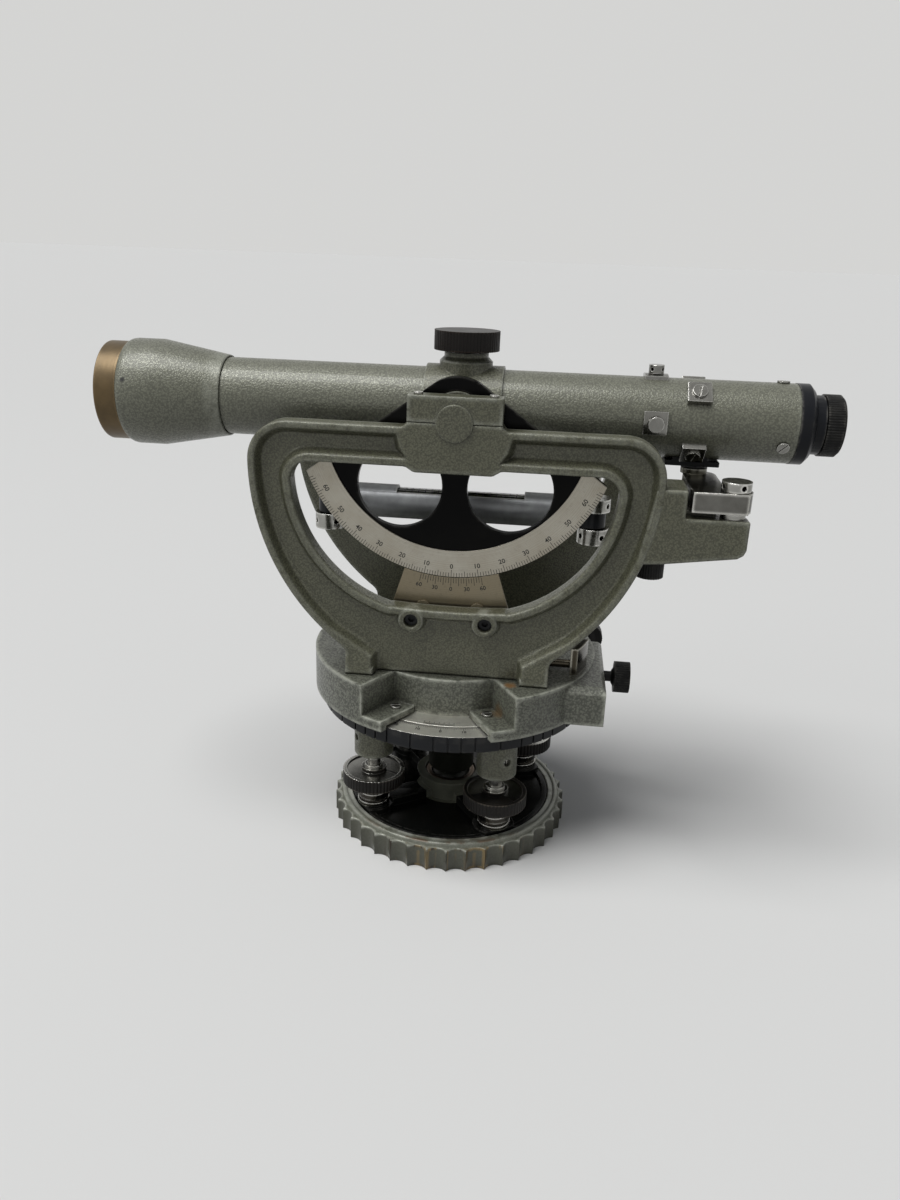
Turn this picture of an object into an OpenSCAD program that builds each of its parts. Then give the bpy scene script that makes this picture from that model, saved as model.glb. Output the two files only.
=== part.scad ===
// Builder's transit level on a four-screw levelling base, in mm, +Z up.
// Origin: centre of the underside of the tripod ring, on the vertical axis.
// +X points to the eyepiece end of the telescope, -Y to the side with the vertical arc.

/* [Base] */
// Outer radius over the tips of the tripod ring
ring_r = 48; // [46.5:0.5:54]
// Height of the scalloped band of the tripod ring
ring_h = 9.2; // [8.2:0.1:10]
// Radius of the tripod thread wall
thread_r = 44.45; // [43:0.05:45]
// Depth of the scallops
scallop_d = 1.25; // [0.8:0.05:1.6]
// Radius at which the four levelling screws stand
screw_pcd_r = 35.4; // [33:0.1:37]
// Turn of the levelling screws about the vertical axis, in degrees
screw_phase = -55.3; // [-70:0.1:-40]
// Radius of a levelling screw's shank
screw_r = 2.6; // [2:0.05:3.2]
// Radius of a levelling screw's knob
screw_knob_r = 12.3; // [10:0.1:13]
// Height of a levelling screw's knob
screw_knob_h = 5.3; // [4:0.1:7]
// Radius of a levelling screw's shoe
shoe_r = 6.4; // [5:0.1:7.5]
// Radius of the ball that the head tilts on
ball_r = 8.8; // [8:0.1:9.6]
// Outer radius of the hub cup
hub_r = 14; // [13:0.1:15]
// Radius of a levelling screw barrel
barrel_r = 7.7; // [6:0.1:8.5]

/* [Horizontal circle and housing] */
// Radius of the black rim of the horizontal circle
rim_r = 52.4; // [50:0.1:52.6]
// Height of the black rim
rim_h = 5.9; // [5:0.1:6.5]
// Radial gap between the rim and the housing round it
rim_gap = 0.4; // [0.3:0.05:0.8]
// Height of the drum housing
drum_h = 15.8; // [14.5:0.1:19]
// Wall of the drum housing
drum_wall = 2.6; // [2.2:0.1:2.8]
// Width of the horizontal vernier's sloping face
vern_w = 7.4; // [6.6:0.1:8.2]
// Half width of the reading window at the drum's face
window_half_w = 27.85; // [26:0.05:29]
// Half width of the reading window at its recessed wall
window_in_w = 18.6; // [17:0.1:19.5]
// Height of the window's tabs
tab_h = 3.7; // [3.2:0.1:5]
// Radius of the vertical spindle
spindle_r = 8; // [6:0.1:9]
// Radius of the clamp knob
clamp_knob_r = 6; // [4.5:0.1:6.8]

/* [Frames] */
// Height of the trunnion axis
trunnion_z = 168.35; // [166:0.05:172]
// How far a frame's outer face stands inside the housing's edge
frame_in = 18.6; // [16:0.1:19]
// Depth of a frame
frame_t = 7; // [6:0.1:7.4]
// Depth of the channel in a frame's face
channel_d = 2.9; // [1:0.1:3.6]
// Width of the outer rim of a frame
rim_out_w = 3.2; // [2.4:0.1:4.6]
// Width of the inner rim of a frame
rim_in_w = 3.2; // [2.2:0.1:3.6]
// Half width of the bearing block
block_w = 16; // [15:0.1:17]
// Height of a bearing cap
cap_h = 8.75; // [8:0.05:11]
// Radius of the trunnion journals
journal_r = 5.5; // [4:0.1:6]

/* [Telescope] */
// Outer radius of the telescope tube
tube_r = 14.05; // [13.2:0.05:14.6]
// Wall of the telescope tube
tube_wall = 2.05; // [1.4:0.05:2.4]
// Objective face, distance from the trunnion axis
obj_x = 133.6; // [131:0.1:140]
// Largest radius of the objective bell
bell_r = 19.4; // [19:0.1:21]
// Radius of the objective ring
obj_ring_r = 18.1; // [17.6:0.1:18.5]
// Eyepiece end of the tube, distance from the trunnion axis
tube_end_x = 116.9; // [115:0.1:124]
// Radius of the eyepiece ring
eye_ring_r = 10.9; // [10.2:0.1:12]
// Radius of the focusing knob
focus_knob_r = 11.8; // [9:0.1:13]
// Height of the focusing knob
focus_knob_h = 6.9; // [5:0.1:9]
// Travel of the focusing lens each way
focus_travel = 8; // [5:0.5:9]
// Outer radius of the graduated arc
arc_r = 56.3; // [55:0.1:57]
// Width of the graduated arc
arc_w = 9.7; // [8:0.1:11]
// Radius of the two holes in the arc casting
arc_hole_r = 15; // [13:0.1:15.4]
// Radius of the level vial tube
vial_r = 6.4; // [5.6:0.1:7]
// Half length of the level vial tube
vial_half_l = 43; // [41:0.5:44]
// Height of the lock lever
lever_t = 7; // [6:0.1:7.4]

/* [Hidden] */
$fn = 96;
eps = 0.01;
gap = 0.3;        // between surfaces that move past each other
fit = 0.05;       // radial running clearance of a shaft in its bore

// base
collar_h = 1.7;
collar_r = ring_r - 1.8;
lip_in_r = ring_r - 6.8;
thread_l = ring_h - 2.2;
plate_z = thread_l + 0.1;
flange_h = 2.1;
flange_r = lip_in_r + 1.1;
boss_r = lip_in_r - gap;
plate_top = ring_h + collar_h - 0.5;
arm_top = ring_h + 2.6;
ball_z = 12.5;
hub_top = ring_h + 8.6;
hub_bot = plate_z;
ball_cut_z = ball_z - 3;
cup_z = ball_cut_z - 0.8;
tip_r = 2.2;
tip_z = arm_top + 3.4;
shoe_h = 5.6;
shoe_play = 0.7;  // room for a screw that tilts in its shoe
knob_z = 21.4;
stem_r = ball_r - 2.2;
barrel_z = 34.7;
head_top = 52.9;
barrel_top = head_top - 1;
sleeve_r = 14;
sleeve_top = head_top + rim_h;
retainer_r = ball_r + 1.8;
neck_r = hub_r - 2;
rib_w = 9;
spindle_low_r = spindle_r - 1;
spindle_z = barrel_z + 8;
ring_n = 40;

// horizontal circle, on a cone of 5 degrees
rim_z = head_top + 1;
rim_top = rim_z + rim_h;
cone = tan(5);
scale_w = 6.9;
scale_out_r = rim_r - 0.5;
scale_in_r = scale_out_r - scale_w;
scale_t = 2.2;
function cone_z(r) = rim_top + (scale_out_r - r) * cone;
drum_z = rim_top - 0.5;
drum_top = drum_z + drum_h;
drum_in_r = rim_r + rim_gap;
drum_r = drum_in_r + drum_wall;
ceiling_z = drum_top - drum_wall;
tab_bot = rim_top + 1.2;
tab_top = drum_z + tab_h + 0.2;
vern_out_r = scale_in_r - 0.2;
window_r = vern_out_r - vern_w;
vern_in_r = window_r + 0.2;
vern_back_r = window_r - 2.2;
vern_bot = tab_bot - 1.6;
window_turn = -1.4;
win_y0 = sqrt(drum_r * drum_r - window_half_w * window_half_w);
win_y1 = sqrt(window_r * window_r - window_in_w * window_in_w);
tab_screw_x = 17;
vern_half = asin(tab_screw_x / (window_r + 4.7)) + 2.2;
tab_screw_y = -sqrt(pow(window_r + 4.7, 2) - tab_screw_x * tab_screw_x);
tab_screw_r = 1.05;
tab_flare = 20;
tab_in_w = 10.4;
lobe_in_x = drum_r - 15.4;
lobe_x = drum_r + 3.3;
lobe_y0 = -33.5;
lobe_y1 = 14;
lobe_z = drum_z + 0.1;
lobe_top = drum_top - 0.9;
clamp_y = -9.5;
clamp_z = 69.35;
clamp_shaft_r = 2;
tangent_x = lobe_x - 5.1;
tangent_z = 66.4;
tangent_len = 21;
tangent_knob_r = 7;
post_in_r = drum_r - 4.4;
post_w = 2.4;
plunger_y = -18.5;
plunger_r = 1.6;
plunger_x = drum_r - 18.9;
plunger_l = sqrt(post_in_r * post_in_r - plunger_y * plunger_y) + 1 - plunger_x;

// frames
fy = drum_r - frame_in;
fb = fy - frame_t;
ym = (fy + fb) / 2;
foot_screw_r = 1.5;
foot_head_r = foot_screw_r + 1;
foot_head_h = 2.4;
foot_screw_out = sqrt(pow(drum_in_r - 5.1, 2) - ym * ym);
foot_screw_in = foot_screw_out - 2 * foot_head_r - 0.1;
foot_screw_x = [-foot_screw_out, -foot_screw_in, foot_screw_in, foot_screw_out];
frame_top = trunnion_z - 1.95;
corner_r = 14;
out_cx = 12.54;
out_cz = trunnion_z - 16.45;
out_r = 83.85;
in_cx = 7.3;
in_cz = trunnion_z - 19.35;
in_r = 49.1;
open_top = trunnion_z - 15.45;
open_corner_r = 7;
foot_x0 = 27.2;
foot_x1 = 37.1;
foot_h = 7.8;
foot_out = 1.4;
ear_x = 13.3;
ear_z = trunnion_z - 71.25;
ear_hole_r = 2.5;
ear_r = 4.3;
ear_screw_r = 1.6;
ear_depth = 4.4;
cap_screw_x = 12.7;
cap_screw_r = 1;
cap_screw_l = 7.5;
br_x1 = 100.1;
br_top = trunnion_z - 27.65;
step_x1 = 78.8;
step_top = br_top + 9.4;
shelf_d = frame_t + 4.5;
pivot_x = 94.9;
pivot_y = -(fy - 5.7);
pivot_r = 2.5;
knob2_x = 70;
knob2_y = -(fb - 4.8);
knob2_r = 1.8;
knob2_z = br_top - 24.4;

// telescope
tz = trunnion_z;
tube_in = tube_r - tube_wall;
tube_x0 = obj_x - 38.6;
bell_x0 = obj_x - 45.6;
cell_x = obj_x - 8.4;
sleeve_half = 14;
sleeve_or = tube_r + 1.25;
arc_y = fb - 1.1;
plate_t = 0.8;
cast_t = 3.2;
arc_hub_r = 14.3;
arc_bore_r = 9.5;
tan_a = 36;
vp_in = arc_r + 0.25;
vp_out = tz - ear_z - 0.1;
vp_t = 1.2;
vp_screw_x = 9.9;
vp_screw_z = ear_z + 3.2;
vp_screw_r = 1.25;
mount_d = 8.4;
mount_z = ear_z - 5.6;
ret_x = 67.8;
blk_x = 82.2;
pad_x0 = 73.6;
pad_x1 = 92.8;
pad_z = tz - tube_r - 2;
pad_t = 1.9;
stud_x = 84.2;
stud_y = -4.6;
lever_z = br_top + 2.25;
lever_top = lever_z + lever_t;
stud_r = 4.7;
stud_h = pad_z - gap - lever_top;
vial_z = tz - 36.9;
post_x = vial_half_l + 7.4;
post_r = 1.5;
lug_z0 = vial_z - 5.1;
lug_z1 = vial_z + 1;
glass_r = vial_r - 1.2;
focus_z = tz + sleeve_or + 4.9;
pin_pr = 4;
pin_n = 10;
pin_m = 0.8;
pin_z = tz + 7.9;
fslide_r = 7.5;
eye_x = tube_end_x + 9.9;
eye_bar_r = 7.9;

module tube(r, ri, h) {
  difference() {
    cylinder(r = r, h = h);
    translate([0, 0, -1]) cylinder(r = ri, h = h + 2);
  }
}
// a bar along +X from x0 to x1 about the telescope's axis
module along_x(x0, x1, r) {
  translate([x0, 0, tz]) rotate([0, 90, 0]) cylinder(r = r, h = x1 - x0);
}
module at_screw(i) {
  rotate([0, 0, screw_phase - 90 * i]) translate([screw_pcd_r, 0, 0]) children();
}
// a round outline with n knurl grooves of radius g
module knurl(r, n, g) {
  difference() {
    circle(r = r);
    for (k = [0 : n - 1]) rotate(k * 360 / n) translate([r + g * 0.45, 0]) circle(r = g, $fn = 16);
  }
}
module slot_head(r, h, slot) {
  difference() {
    cylinder(r = r, h = h, $fn = 48);
    translate([-r - 1, -slot / 2, h * 0.45]) cube([2 * r + 2, slot, h]);
  }
}
// a head with cross holes for a pin
module capstan_head(r, h, hole) {
  difference() {
    cylinder(r = r, h = h, $fn = 48);
    for (a = [0, 90]) rotate([0, 0, a + 20]) translate([-r - 1, 0, h / 2]) rotate([0, 90, 0])
      cylinder(r = hole, h = 2 * r + 2, $fn = 24);
  }
}

// base ring, foot plate and levelling screws
module tripod_ring() color("#6f7468") difference() {
  union() {
    linear_extrude(height = ring_h) difference() {
      circle(r = ring_r, $fn = 160);
      for (k = [0 : ring_n - 1]) rotate(k * 360 / ring_n)
        translate([ring_r - scallop_d + scallop_cr(), 0]) circle(r = scallop_cr(), $fn = 48);
    }
    cylinder(r = collar_r, h = ring_h + collar_h, $fn = 160);
  }
  translate([0, 0, -1]) cylinder(r = thread_r, h = thread_l + 1, $fn = 160);
  translate([0, 0, -1]) cylinder(r = flange_r + 0.4, h = 1 + plate_z + flange_h + 0.2, $fn = 160);
  translate([0, 0, -1]) cylinder(r = lip_in_r, h = 40, $fn = 160);
}
function scallop_tip() = ring_r * cos(180 / ring_n) - ring_r + scallop_d;
function scallop_cr() = (pow(scallop_tip(), 2) + pow(ring_r * sin(180 / ring_n), 2)) / 2 / scallop_tip();

module foot_plate() color("#1b1b1c") difference() {
  union() {
    translate([0, 0, plate_z]) cylinder(r = flange_r, h = flange_h, $fn = 160);
    difference() {
      translate([0, 0, plate_z]) cylinder(r = boss_r, h = plate_top - plate_z, $fn = 160);
      translate([0, 0, plate_z + 2.2]) cylinder(r = boss_r - 2.2, h = 20, $fn = 160);
    }
    for (i = [0 : 3]) {
      intersection() {
        at_screw(i) translate([0, 0, plate_z]) cylinder(r = shoe_r + 1.8, h = arm_top - plate_z);
        cylinder(r = boss_r, h = arm_top + 1);
      }
      rotate([0, 0, screw_phase - 90 * i]) translate([0, -rib_w / 2, plate_z])
        cube([screw_pcd_r - shoe_r, rib_w, arm_top + 0.9 - plate_z]);
    }
    translate([0, 0, hub_bot]) cylinder(r = neck_r, h = ball_z - hub_bot);
    translate([0, 0, ball_z - 0.5]) cylinder(r1 = neck_r, r2 = hub_r, h = hub_top - ball_z + 0.5);
  }
  intersection() {
    translate([0, 0, ball_z]) sphere(r = ball_r + 0.1);
    translate([0, 0, cup_z]) cylinder(r = ball_r + 1, h = 20);
  }
  translate([0, 0, ball_z + 0.7]) cylinder(r = retainer_r, h = 20);
  translate([0, 0, hub_bot - 1]) cylinder(r = 3, h = 8);
}

module shoes() color("#b9b9b4") for (i = [0 : 3]) at_screw(i) difference() {
  translate([0, 0, arm_top]) {
    cylinder(r = shoe_r, h = 1.9);
    cylinder(r = shoe_r - 0.9, h = 2.7);
    translate([0, 0, 2.7]) cylinder(r = shoe_r - 0.3, h = shoe_h - 2.7);
  }
  translate([0, 0, tip_z]) sphere(r = tip_r + 0.45, $fn = 48);
  translate([0, 0, tip_z - 0.4]) cylinder(r = screw_r + shoe_play, h = 10, $fn = 48);
  translate([0, 0, tip_z + 1.2]) cylinder(r1 = screw_r + shoe_play, r2 = screw_r + shoe_play + 1.3, h = 2);
}

module ball_retainer() color("#7a5a38") difference() {
  translate([0, 0, ball_z + 0.7]) cylinder(r = retainer_r, h = 2.8);
  translate([0, 0, ball_z]) sphere(r = ball_r + 0.1);
  translate([0, 0, ball_z]) cylinder(r = stem_r + 0.9, h = 20);
}

module stem_seal() color("#8a5a32") translate([0, 0, ball_z + 4.1])
  tube(retainer_r - 0.5, ball_r - 0.8, 0.8);

module ball_stem() color("#2a2724") difference() {
  union() {
    intersection() {
      translate([0, 0, ball_z]) sphere(r = ball_r);
      translate([0, 0, ball_cut_z]) cylinder(r = ball_r + 1, h = 20);
    }
    translate([0, 0, ball_z]) cylinder(r = stem_r, h = barrel_z + 6 - ball_z);
    translate([0, 0, barrel_z - 5]) cylinder(r1 = stem_r, r2 = stem_r + 4, h = 6);
    translate([0, 0, barrel_z + 1]) cylinder(r = stem_r + 4, h = 5);
  }
  translate([0, 0, 0]) cylinder(r = 2.5, h = 30, $fn = 48);
}

module levelling_head() color("#6a6f62") difference() {
  union() {
    translate([0, 0, barrel_z + 1]) cylinder(r = 18, h = head_top - barrel_z - 1);
    translate([0, 0, head_top]) cylinder(r = sleeve_r, h = sleeve_top - head_top);
    for (i = [0 : 3]) {
      at_screw(i) translate([0, 0, barrel_z]) cylinder(r = barrel_r, h = barrel_top - barrel_z);
      rotate([0, 0, screw_phase - 90 * i]) translate([8, -5, barrel_z + 7])
        cube([screw_pcd_r - 8, 10, barrel_top - barrel_z - 7.5]);
    }
  }
  for (i = [0 : 3]) at_screw(i) {
    translate([0, 0, 20]) cylinder(r = screw_r + fit, h = 60, $fn = 48);
    translate([screw_r + 0.5, 0, barrel_z + 7.4]) rotate([0, 90, 0]) cylinder(r = 1.5, h = 20, $fn = 32);
  }
  translate([0, 0, barrel_z]) cylinder(r = stem_r + 4, h = 6);
  translate([0, 0, spindle_z]) cylinder(r = spindle_low_r + fit, h = 40);
}

module tension_screws() color("#8d8d88") for (i = [0 : 3]) at_screw(i)
  translate([screw_r + 0.5, 0, barrel_z + 7.4]) rotate([0, 90, 0]) difference() {
    cylinder(r = 1.5, h = barrel_r - screw_r - 1.9, $fn = 32);
    translate([-2, -0.25, barrel_r - screw_r - 2.5]) cube([4, 0.5, 2]);
  }

module tip_ball(i) color("#c9c9c4") at_screw(i) translate([0, 0, tip_z]) sphere(r = tip_r, $fn = 48);
module level_screw(i) color("#1d1c1b") at_screw(i) difference() {
  union() {
    translate([0, 0, knob_z]) linear_extrude(height = screw_knob_h)
      knurl(screw_knob_r, 54, 0.42);
    translate([0, 0, knob_z - 1.2]) cylinder(r1 = 5.2, r2 = 7, h = 1.2 + eps);
    translate([0, 0, knob_z + screw_knob_h - eps]) cylinder(r = 5, h = 1);
    translate([0, 0, tip_z]) cylinder(r = screw_r, h = 49.4 - tip_z, $fn = 48);
    translate([0, 0, knob_z + screw_knob_h]) cylinder(r = screw_r + 1, h = 2.2, $fn = 48);
  }
  translate([0, 0, tip_z]) sphere(r = tip_r + fit, $fn = 48);
  translate([0, 0, knob_z + screw_knob_h - 0.5]) difference() {
    cylinder(r = screw_knob_r - 1.6, h = 0.5 + eps);
    cylinder(r = 5, h = 1);
  }
}
module tip_ball_1() tip_ball(0);
module tip_ball_2() tip_ball(1);
module tip_ball_3() tip_ball(2);
module tip_ball_4() tip_ball(3);
module level_screw_1() level_screw(0);
module level_screw_2() level_screw(1);
module level_screw_3() level_screw(2);
module level_screw_4() level_screw(3);

// horizontal circle and drum housing
module spindle() color("#a9a9a4") {
  translate([0, 0, spindle_z + gap]) cylinder(r = spindle_low_r, h = sleeve_top - spindle_z);
  translate([0, 0, sleeve_top + fit]) cylinder(r = spindle_r, h = ceiling_z + 1 - sleeve_top);
}

module circle_rim() color("#1e1e1f") difference() {
  union() {
    translate([0, 0, rim_z]) linear_extrude(height = rim_h) difference() {
      circle(r = rim_r, $fn = 160);
      circle(r = rim_r - 4, $fn = 160);
      for (g = [0 : 9], o = [0, 5.7, 10.9, 16.4, 26.7]) rotate(-92.1 + g * 36 + o)
        translate([rim_r - 0.6, -0.35]) square([2, 0.7]);
    }
    translate([0, 0, rim_z + 0.6]) cylinder(r = rim_r - 3, h = 2.4, $fn = 160);
    translate([0, 0, head_top + fit]) cylinder(r = sleeve_r + 4, h = rim_h - 0.2);
  }
  translate([0, 0, rim_z - 3]) cylinder(r = sleeve_r + fit, h = 20);
  translate([0, 0, rim_top - scale_t]) cylinder(r = scale_out_r, h = 4, $fn = 160);
}

module circle_scale() color("#c8c4b8") rotate_extrude($fn = 160) polygon([
  [scale_in_r, rim_top - scale_t],
  [scale_out_r, rim_top - scale_t],
  [scale_out_r, rim_top],
  [scale_in_r, cone_z(scale_in_r)]]);

// plan of the reading window, widened by w
module window_plan(w) polygon([
  [-window_in_w - w, -win_y1 + 6], [window_in_w + w, -win_y1 + 6], [window_in_w + w, -win_y1],
  [window_half_w + w, -win_y0], [window_half_w + w + 6, -win_y0 - 10],
  [-window_half_w - w - 6, -win_y0 - 10], [-window_half_w - w, -win_y0], [-window_in_w - w, -win_y1]]);
// plan of the opening between the tabs
module tab_opening_plan() polygon([
  [-tab_in_w, -window_r + 6], [tab_in_w, -window_r + 6], [tab_in_w, -window_r], [tab_flare, -drum_r + 3.4],
  [tab_flare + 3.4, -drum_r - 1.6], [-tab_flare - 3.4, -drum_r - 1.6], [-tab_flare, -drum_r + 3.4],
  [-tab_in_w, -window_r]]);
module housing_layer(z0, z1) translate([0, 0, z0]) linear_extrude(height = z1 - z0) children();
module outside_r(r) difference() {
  children();
  circle(r = r, $fn = 160);
}
// ring of the housing's cavity, without the wall round the window
module cavity_plan() difference() {
  circle(r = drum_in_r, $fn = 160);
  circle(r = sleeve_r);
  outside_r(window_r - 2.4) window_plan(2.4);
}

// block that carries the clamp screw and the tangent screw
module lobe() difference() {
  intersection() {
    translate([lobe_in_x, 0, 0]) rotate([90, 0, 90]) linear_extrude(height = lobe_x - lobe_in_x) polygon([
      [lobe_y0, lobe_z], [lobe_y1, lobe_z], [lobe_y1, lobe_top - 1.2], [lobe_y1 - 1.2, lobe_top],
      [lobe_y0 + 2.4, lobe_top], [lobe_y0, lobe_top - 2.4]]);
    translate([0, lobe_y1 + 1, 0]) rotate([90, 0, 0]) linear_extrude(height = lobe_y1 - lobe_y0 + 2) polygon([
      [lobe_in_x - 1, lobe_z - 1], [lobe_x, lobe_z - 1], [lobe_x, lobe_top - 1.6],
      [lobe_x - 1.6, lobe_top + eps], [lobe_in_x - 1, lobe_top + eps]]);
  }
  translate([0, 0, lobe_z - 1]) cylinder(r = drum_r - 1.2, h = drum_h + 2, $fn = 160);
}

module drum_housing() color("#6d7265") difference() {
  union() {
    rotate([0, 0, window_turn]) {
      housing_layer(drum_z, tab_bot) difference() {
        circle(r = drum_r, $fn = 160);
        circle(r = drum_in_r, $fn = 160);
        tab_opening_plan();
      }
      housing_layer(tab_bot, tab_top) difference() {
        circle(r = drum_r, $fn = 160);
        cavity_plan();
        outside_r(window_r) tab_opening_plan();
      }
      housing_layer(tab_top, ceiling_z) difference() {
        circle(r = drum_r, $fn = 160);
        cavity_plan();
        outside_r(window_r) window_plan(0);
      }
      housing_layer(ceiling_z, drum_top) difference() {
        circle(r = drum_r, $fn = 160);
        outside_r(window_r) window_plan(0);
      }
    }
    translate([0, 0, drum_z]) cylinder(r = sleeve_r, h = ceiling_z - drum_z);
    lobe();
  }
  translate([0, 0, drum_z - 1]) cylinder(r = spindle_r, h = ceiling_z + 1 + fit - drum_z + 1);
  translate([lobe_in_x, clamp_y, clamp_z]) rotate([0, 90, 0])
    cylinder(r = clamp_shaft_r + fit, h = 40, $fn = 48);
  translate([tangent_x, 2, tangent_z]) rotate([-90, 0, 0])
    cylinder(r = clamp_shaft_r + fit, h = 40, $fn = 48);
  rotate([0, 0, window_turn]) for (s = [-1, 1]) translate([s * tab_screw_x, tab_screw_y, vern_bot])
    cylinder(r = tab_screw_r, h = 12, $fn = 32);
  for (a = [0, 1], x = foot_screw_x) mirror([0, a, 0]) translate([x, -ym, ceiling_z - 3])
    cylinder(r = foot_screw_r, h = 20, $fn = 32);
}

module horizontal_vernier() color("#c8c4b8") rotate([0, 0, window_turn]) difference() {
  rotate([0, 0, -90 - vern_half]) rotate_extrude(angle = 2 * vern_half, $fn = 160) polygon([
    [vern_back_r, vern_bot], [vern_out_r, vern_bot], [vern_out_r, tab_bot - 0.6],
    [vern_in_r, tab_bot], [vern_back_r, tab_bot]]);
  for (s = [-1, 1]) translate([s * tab_screw_x, tab_screw_y, vern_bot - 1])
    cylinder(r = tab_screw_r, h = 12, $fn = 32);
}

module window_screws() color("#b5b3aa") rotate([0, 0, window_turn]) for (s = [-1, 1])
  translate([s * tab_screw_x, tab_screw_y, 0]) {
    translate([0, 0, tab_top]) rotate([0, 0, 20]) slot_head(2, 0.9, 0.5);
    translate([0, 0, vern_bot + 0.2]) cylinder(r = tab_screw_r, h = tab_top - vern_bot - 0.1, $fn = 32);
  }

// a knurled knob of radius kr, its face len from the part that its shaft enters
module hand_screw(len, kr) {
  translate([0, 0, -7]) cylinder(r = clamp_shaft_r, h = len + 7.5, $fn = 48);
  translate([0, 0, len]) linear_extrude(height = 6) knurl(kr, 40, 0.35);
  translate([0, 0, len - 1]) cylinder(r1 = clamp_shaft_r + 0.4, r2 = clamp_shaft_r + 2, h = 1 + eps);
}
module clamp_screw() color("#1c1c1c") translate([lobe_x, clamp_y, clamp_z]) rotate([0, 90, 0])
  hand_screw(4, clamp_knob_r);
module tangent_screw() color("#1c1c1c") translate([tangent_x, lobe_y1, tangent_z]) rotate([-90, 0, 0])
  hand_screw(tangent_len, tangent_knob_r);

// curved post of the tangent motion and the sprung plunger that bears on it
module clamp_post() color("#5a4326") translate([0, 0, drum_top]) {
  linear_extrude(height = 10.4) intersection() {
    difference() {
      circle(r = post_in_r + post_w);
      circle(r = post_in_r);
    }
    translate([post_in_r - 20, plunger_y - 5.5]) square([40, 11]);
  }
  translate([plunger_x - 5.5, plunger_y - 4.5, 0]) cube([6, 9, 5]);
  translate([plunger_x, plunger_y, 2.2]) rotate([0, 90, 0]) cylinder(r = plunger_r, h = plunger_l, $fn = 32);
}

// frames and bearings
// outline of a D with rounded top corners, w inside the casting's edge
module out_shape(w) {
  xc = out_r - out_cx - corner_r;
  zc = frame_top - corner_r;
  difference() {
    intersection() {
      translate([-out_cx, out_cz]) circle(r = out_r - w, $fn = 200);
      translate([out_cx, out_cz]) circle(r = out_r - w, $fn = 200);
      translate([-90, drum_top]) square([180, frame_top - w - drum_top]);
    }
    for (s = [0, 1]) mirror([s, 0]) difference() {
      translate([xc, zc]) square([40, 40]);
      translate([xc, zc]) circle(r = corner_r - w);
    }
  }
}
// the opening of the D, grown by w
module in_shape(w) {
  xc = in_cx + in_r - open_corner_r;
  zc = open_top - open_corner_r;
  difference() {
    intersection() {
      union() {
        translate([-in_cx, in_cz]) circle(r = in_r + w, $fn = 200);
        translate([in_cx, in_cz]) circle(r = in_r + w, $fn = 200);
        translate([-in_cx, in_cz - in_r - w]) square([2 * in_cx, 20]);
      }
      translate([-90, 0]) square([180, open_top + w]);
    }
    for (s = [0, 1]) mirror([s, 0]) difference() {
      translate([xc, zc]) square([40, 40]);
      translate([xc, zc]) circle(r = open_corner_r + w);
    }
  }
}
// bearing block, with the ends of the channel on each side
module block_plan() polygon([
  [-block_w, trunnion_z], [-block_w, frame_top + 1.4], [-block_w - 1.5, frame_top],
  [-block_w - 7.7, frame_top - 2.4], [-block_w - 4.6, frame_top - 4], [-block_w - 3, frame_top - 7.4],
  [-block_w - 1.5, open_top + 2.7], [-block_w - 0.5, open_top], [-13.5, open_top - 1.85],
  [13.5, open_top - 1.85], [block_w + 0.5, open_top], [block_w + 1.5, open_top + 2.7],
  [block_w + 3, frame_top - 7.4], [block_w + 4.6, frame_top - 4], [block_w + 7.7, frame_top - 2.4],
  [block_w + 1.5, frame_top], [block_w, frame_top + 1.4], [block_w, trunnion_z]]);
// lower end of the casting, standing on the housing
module foot_plan() polygon([
  [-foot_x1, drum_top], [foot_x1, drum_top], [foot_x1, drum_top + foot_h], [foot_x1 + 1.6, drum_top + 10.6],
  [foot_x1 + 5.7, drum_top + 13.7], [-foot_x1 - 5.7, drum_top + 13.7], [-foot_x1 - 1.6, drum_top + 10.6],
  [-foot_x1, drum_top + foot_h]]);
module upright(y1, t) translate([0, y1, 0]) rotate([90, 0, 0]) linear_extrude(height = t) children();
module ears() for (s = [-1, 1]) translate([s * ear_x, ear_z]) circle(r = ear_r);

module d_frame() difference() {
  union() {
    upright(fy, frame_t) difference() {
      union() {
        out_shape(0);
        foot_plan();
      }
      in_shape(0);
    }
    upright(fy, frame_t) {
      block_plan();
      ears();
    }
    for (s = [0, 1]) mirror([s, 0, 0]) translate([foot_x0, 0, 0]) rotate([90, 0, 90])
      linear_extrude(height = foot_x1 - foot_x0) polygon([
        [ym, drum_top], [fy + foot_out, drum_top], [fy, drum_top + foot_h], [ym, drum_top + foot_h]]);
  }
  upright(fy + 3, channel_d + 3) difference() {
    union() {
      out_shape(rim_out_w);
      translate([-foot_x0, drum_top - 1]) square([2 * foot_x0, foot_h]);
    }
    in_shape(rim_in_w);
    block_plan();
    ears();
  }
  // bearing, cap screws, ear holes and the holes for the foot screws
  translate([0, fb - 5, trunnion_z]) rotate([-90, 0, 0]) cylinder(r = journal_r + fit, h = frame_t + 10);
  for (s = [-1, 1]) translate([s * cap_screw_x, ym, trunnion_z - cap_screw_l - 1])
    cylinder(r = cap_screw_r, h = 20, $fn = 32);
  for (s = [-1, 1]) translate([s * ear_x, fb - 5, ear_z]) rotate([-90, 0, 0]) {
    cylinder(r = ear_screw_r, h = frame_t + 10, $fn = 32);
    translate([0, 0, 5 + frame_t - ear_depth]) cylinder(r = ear_hole_r, h = 20, $fn = 48);
  }
  for (x = foot_screw_x) translate([x, ym, drum_top - 1]) cylinder(r = foot_screw_r, h = 7, $fn = 32);
}

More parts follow.
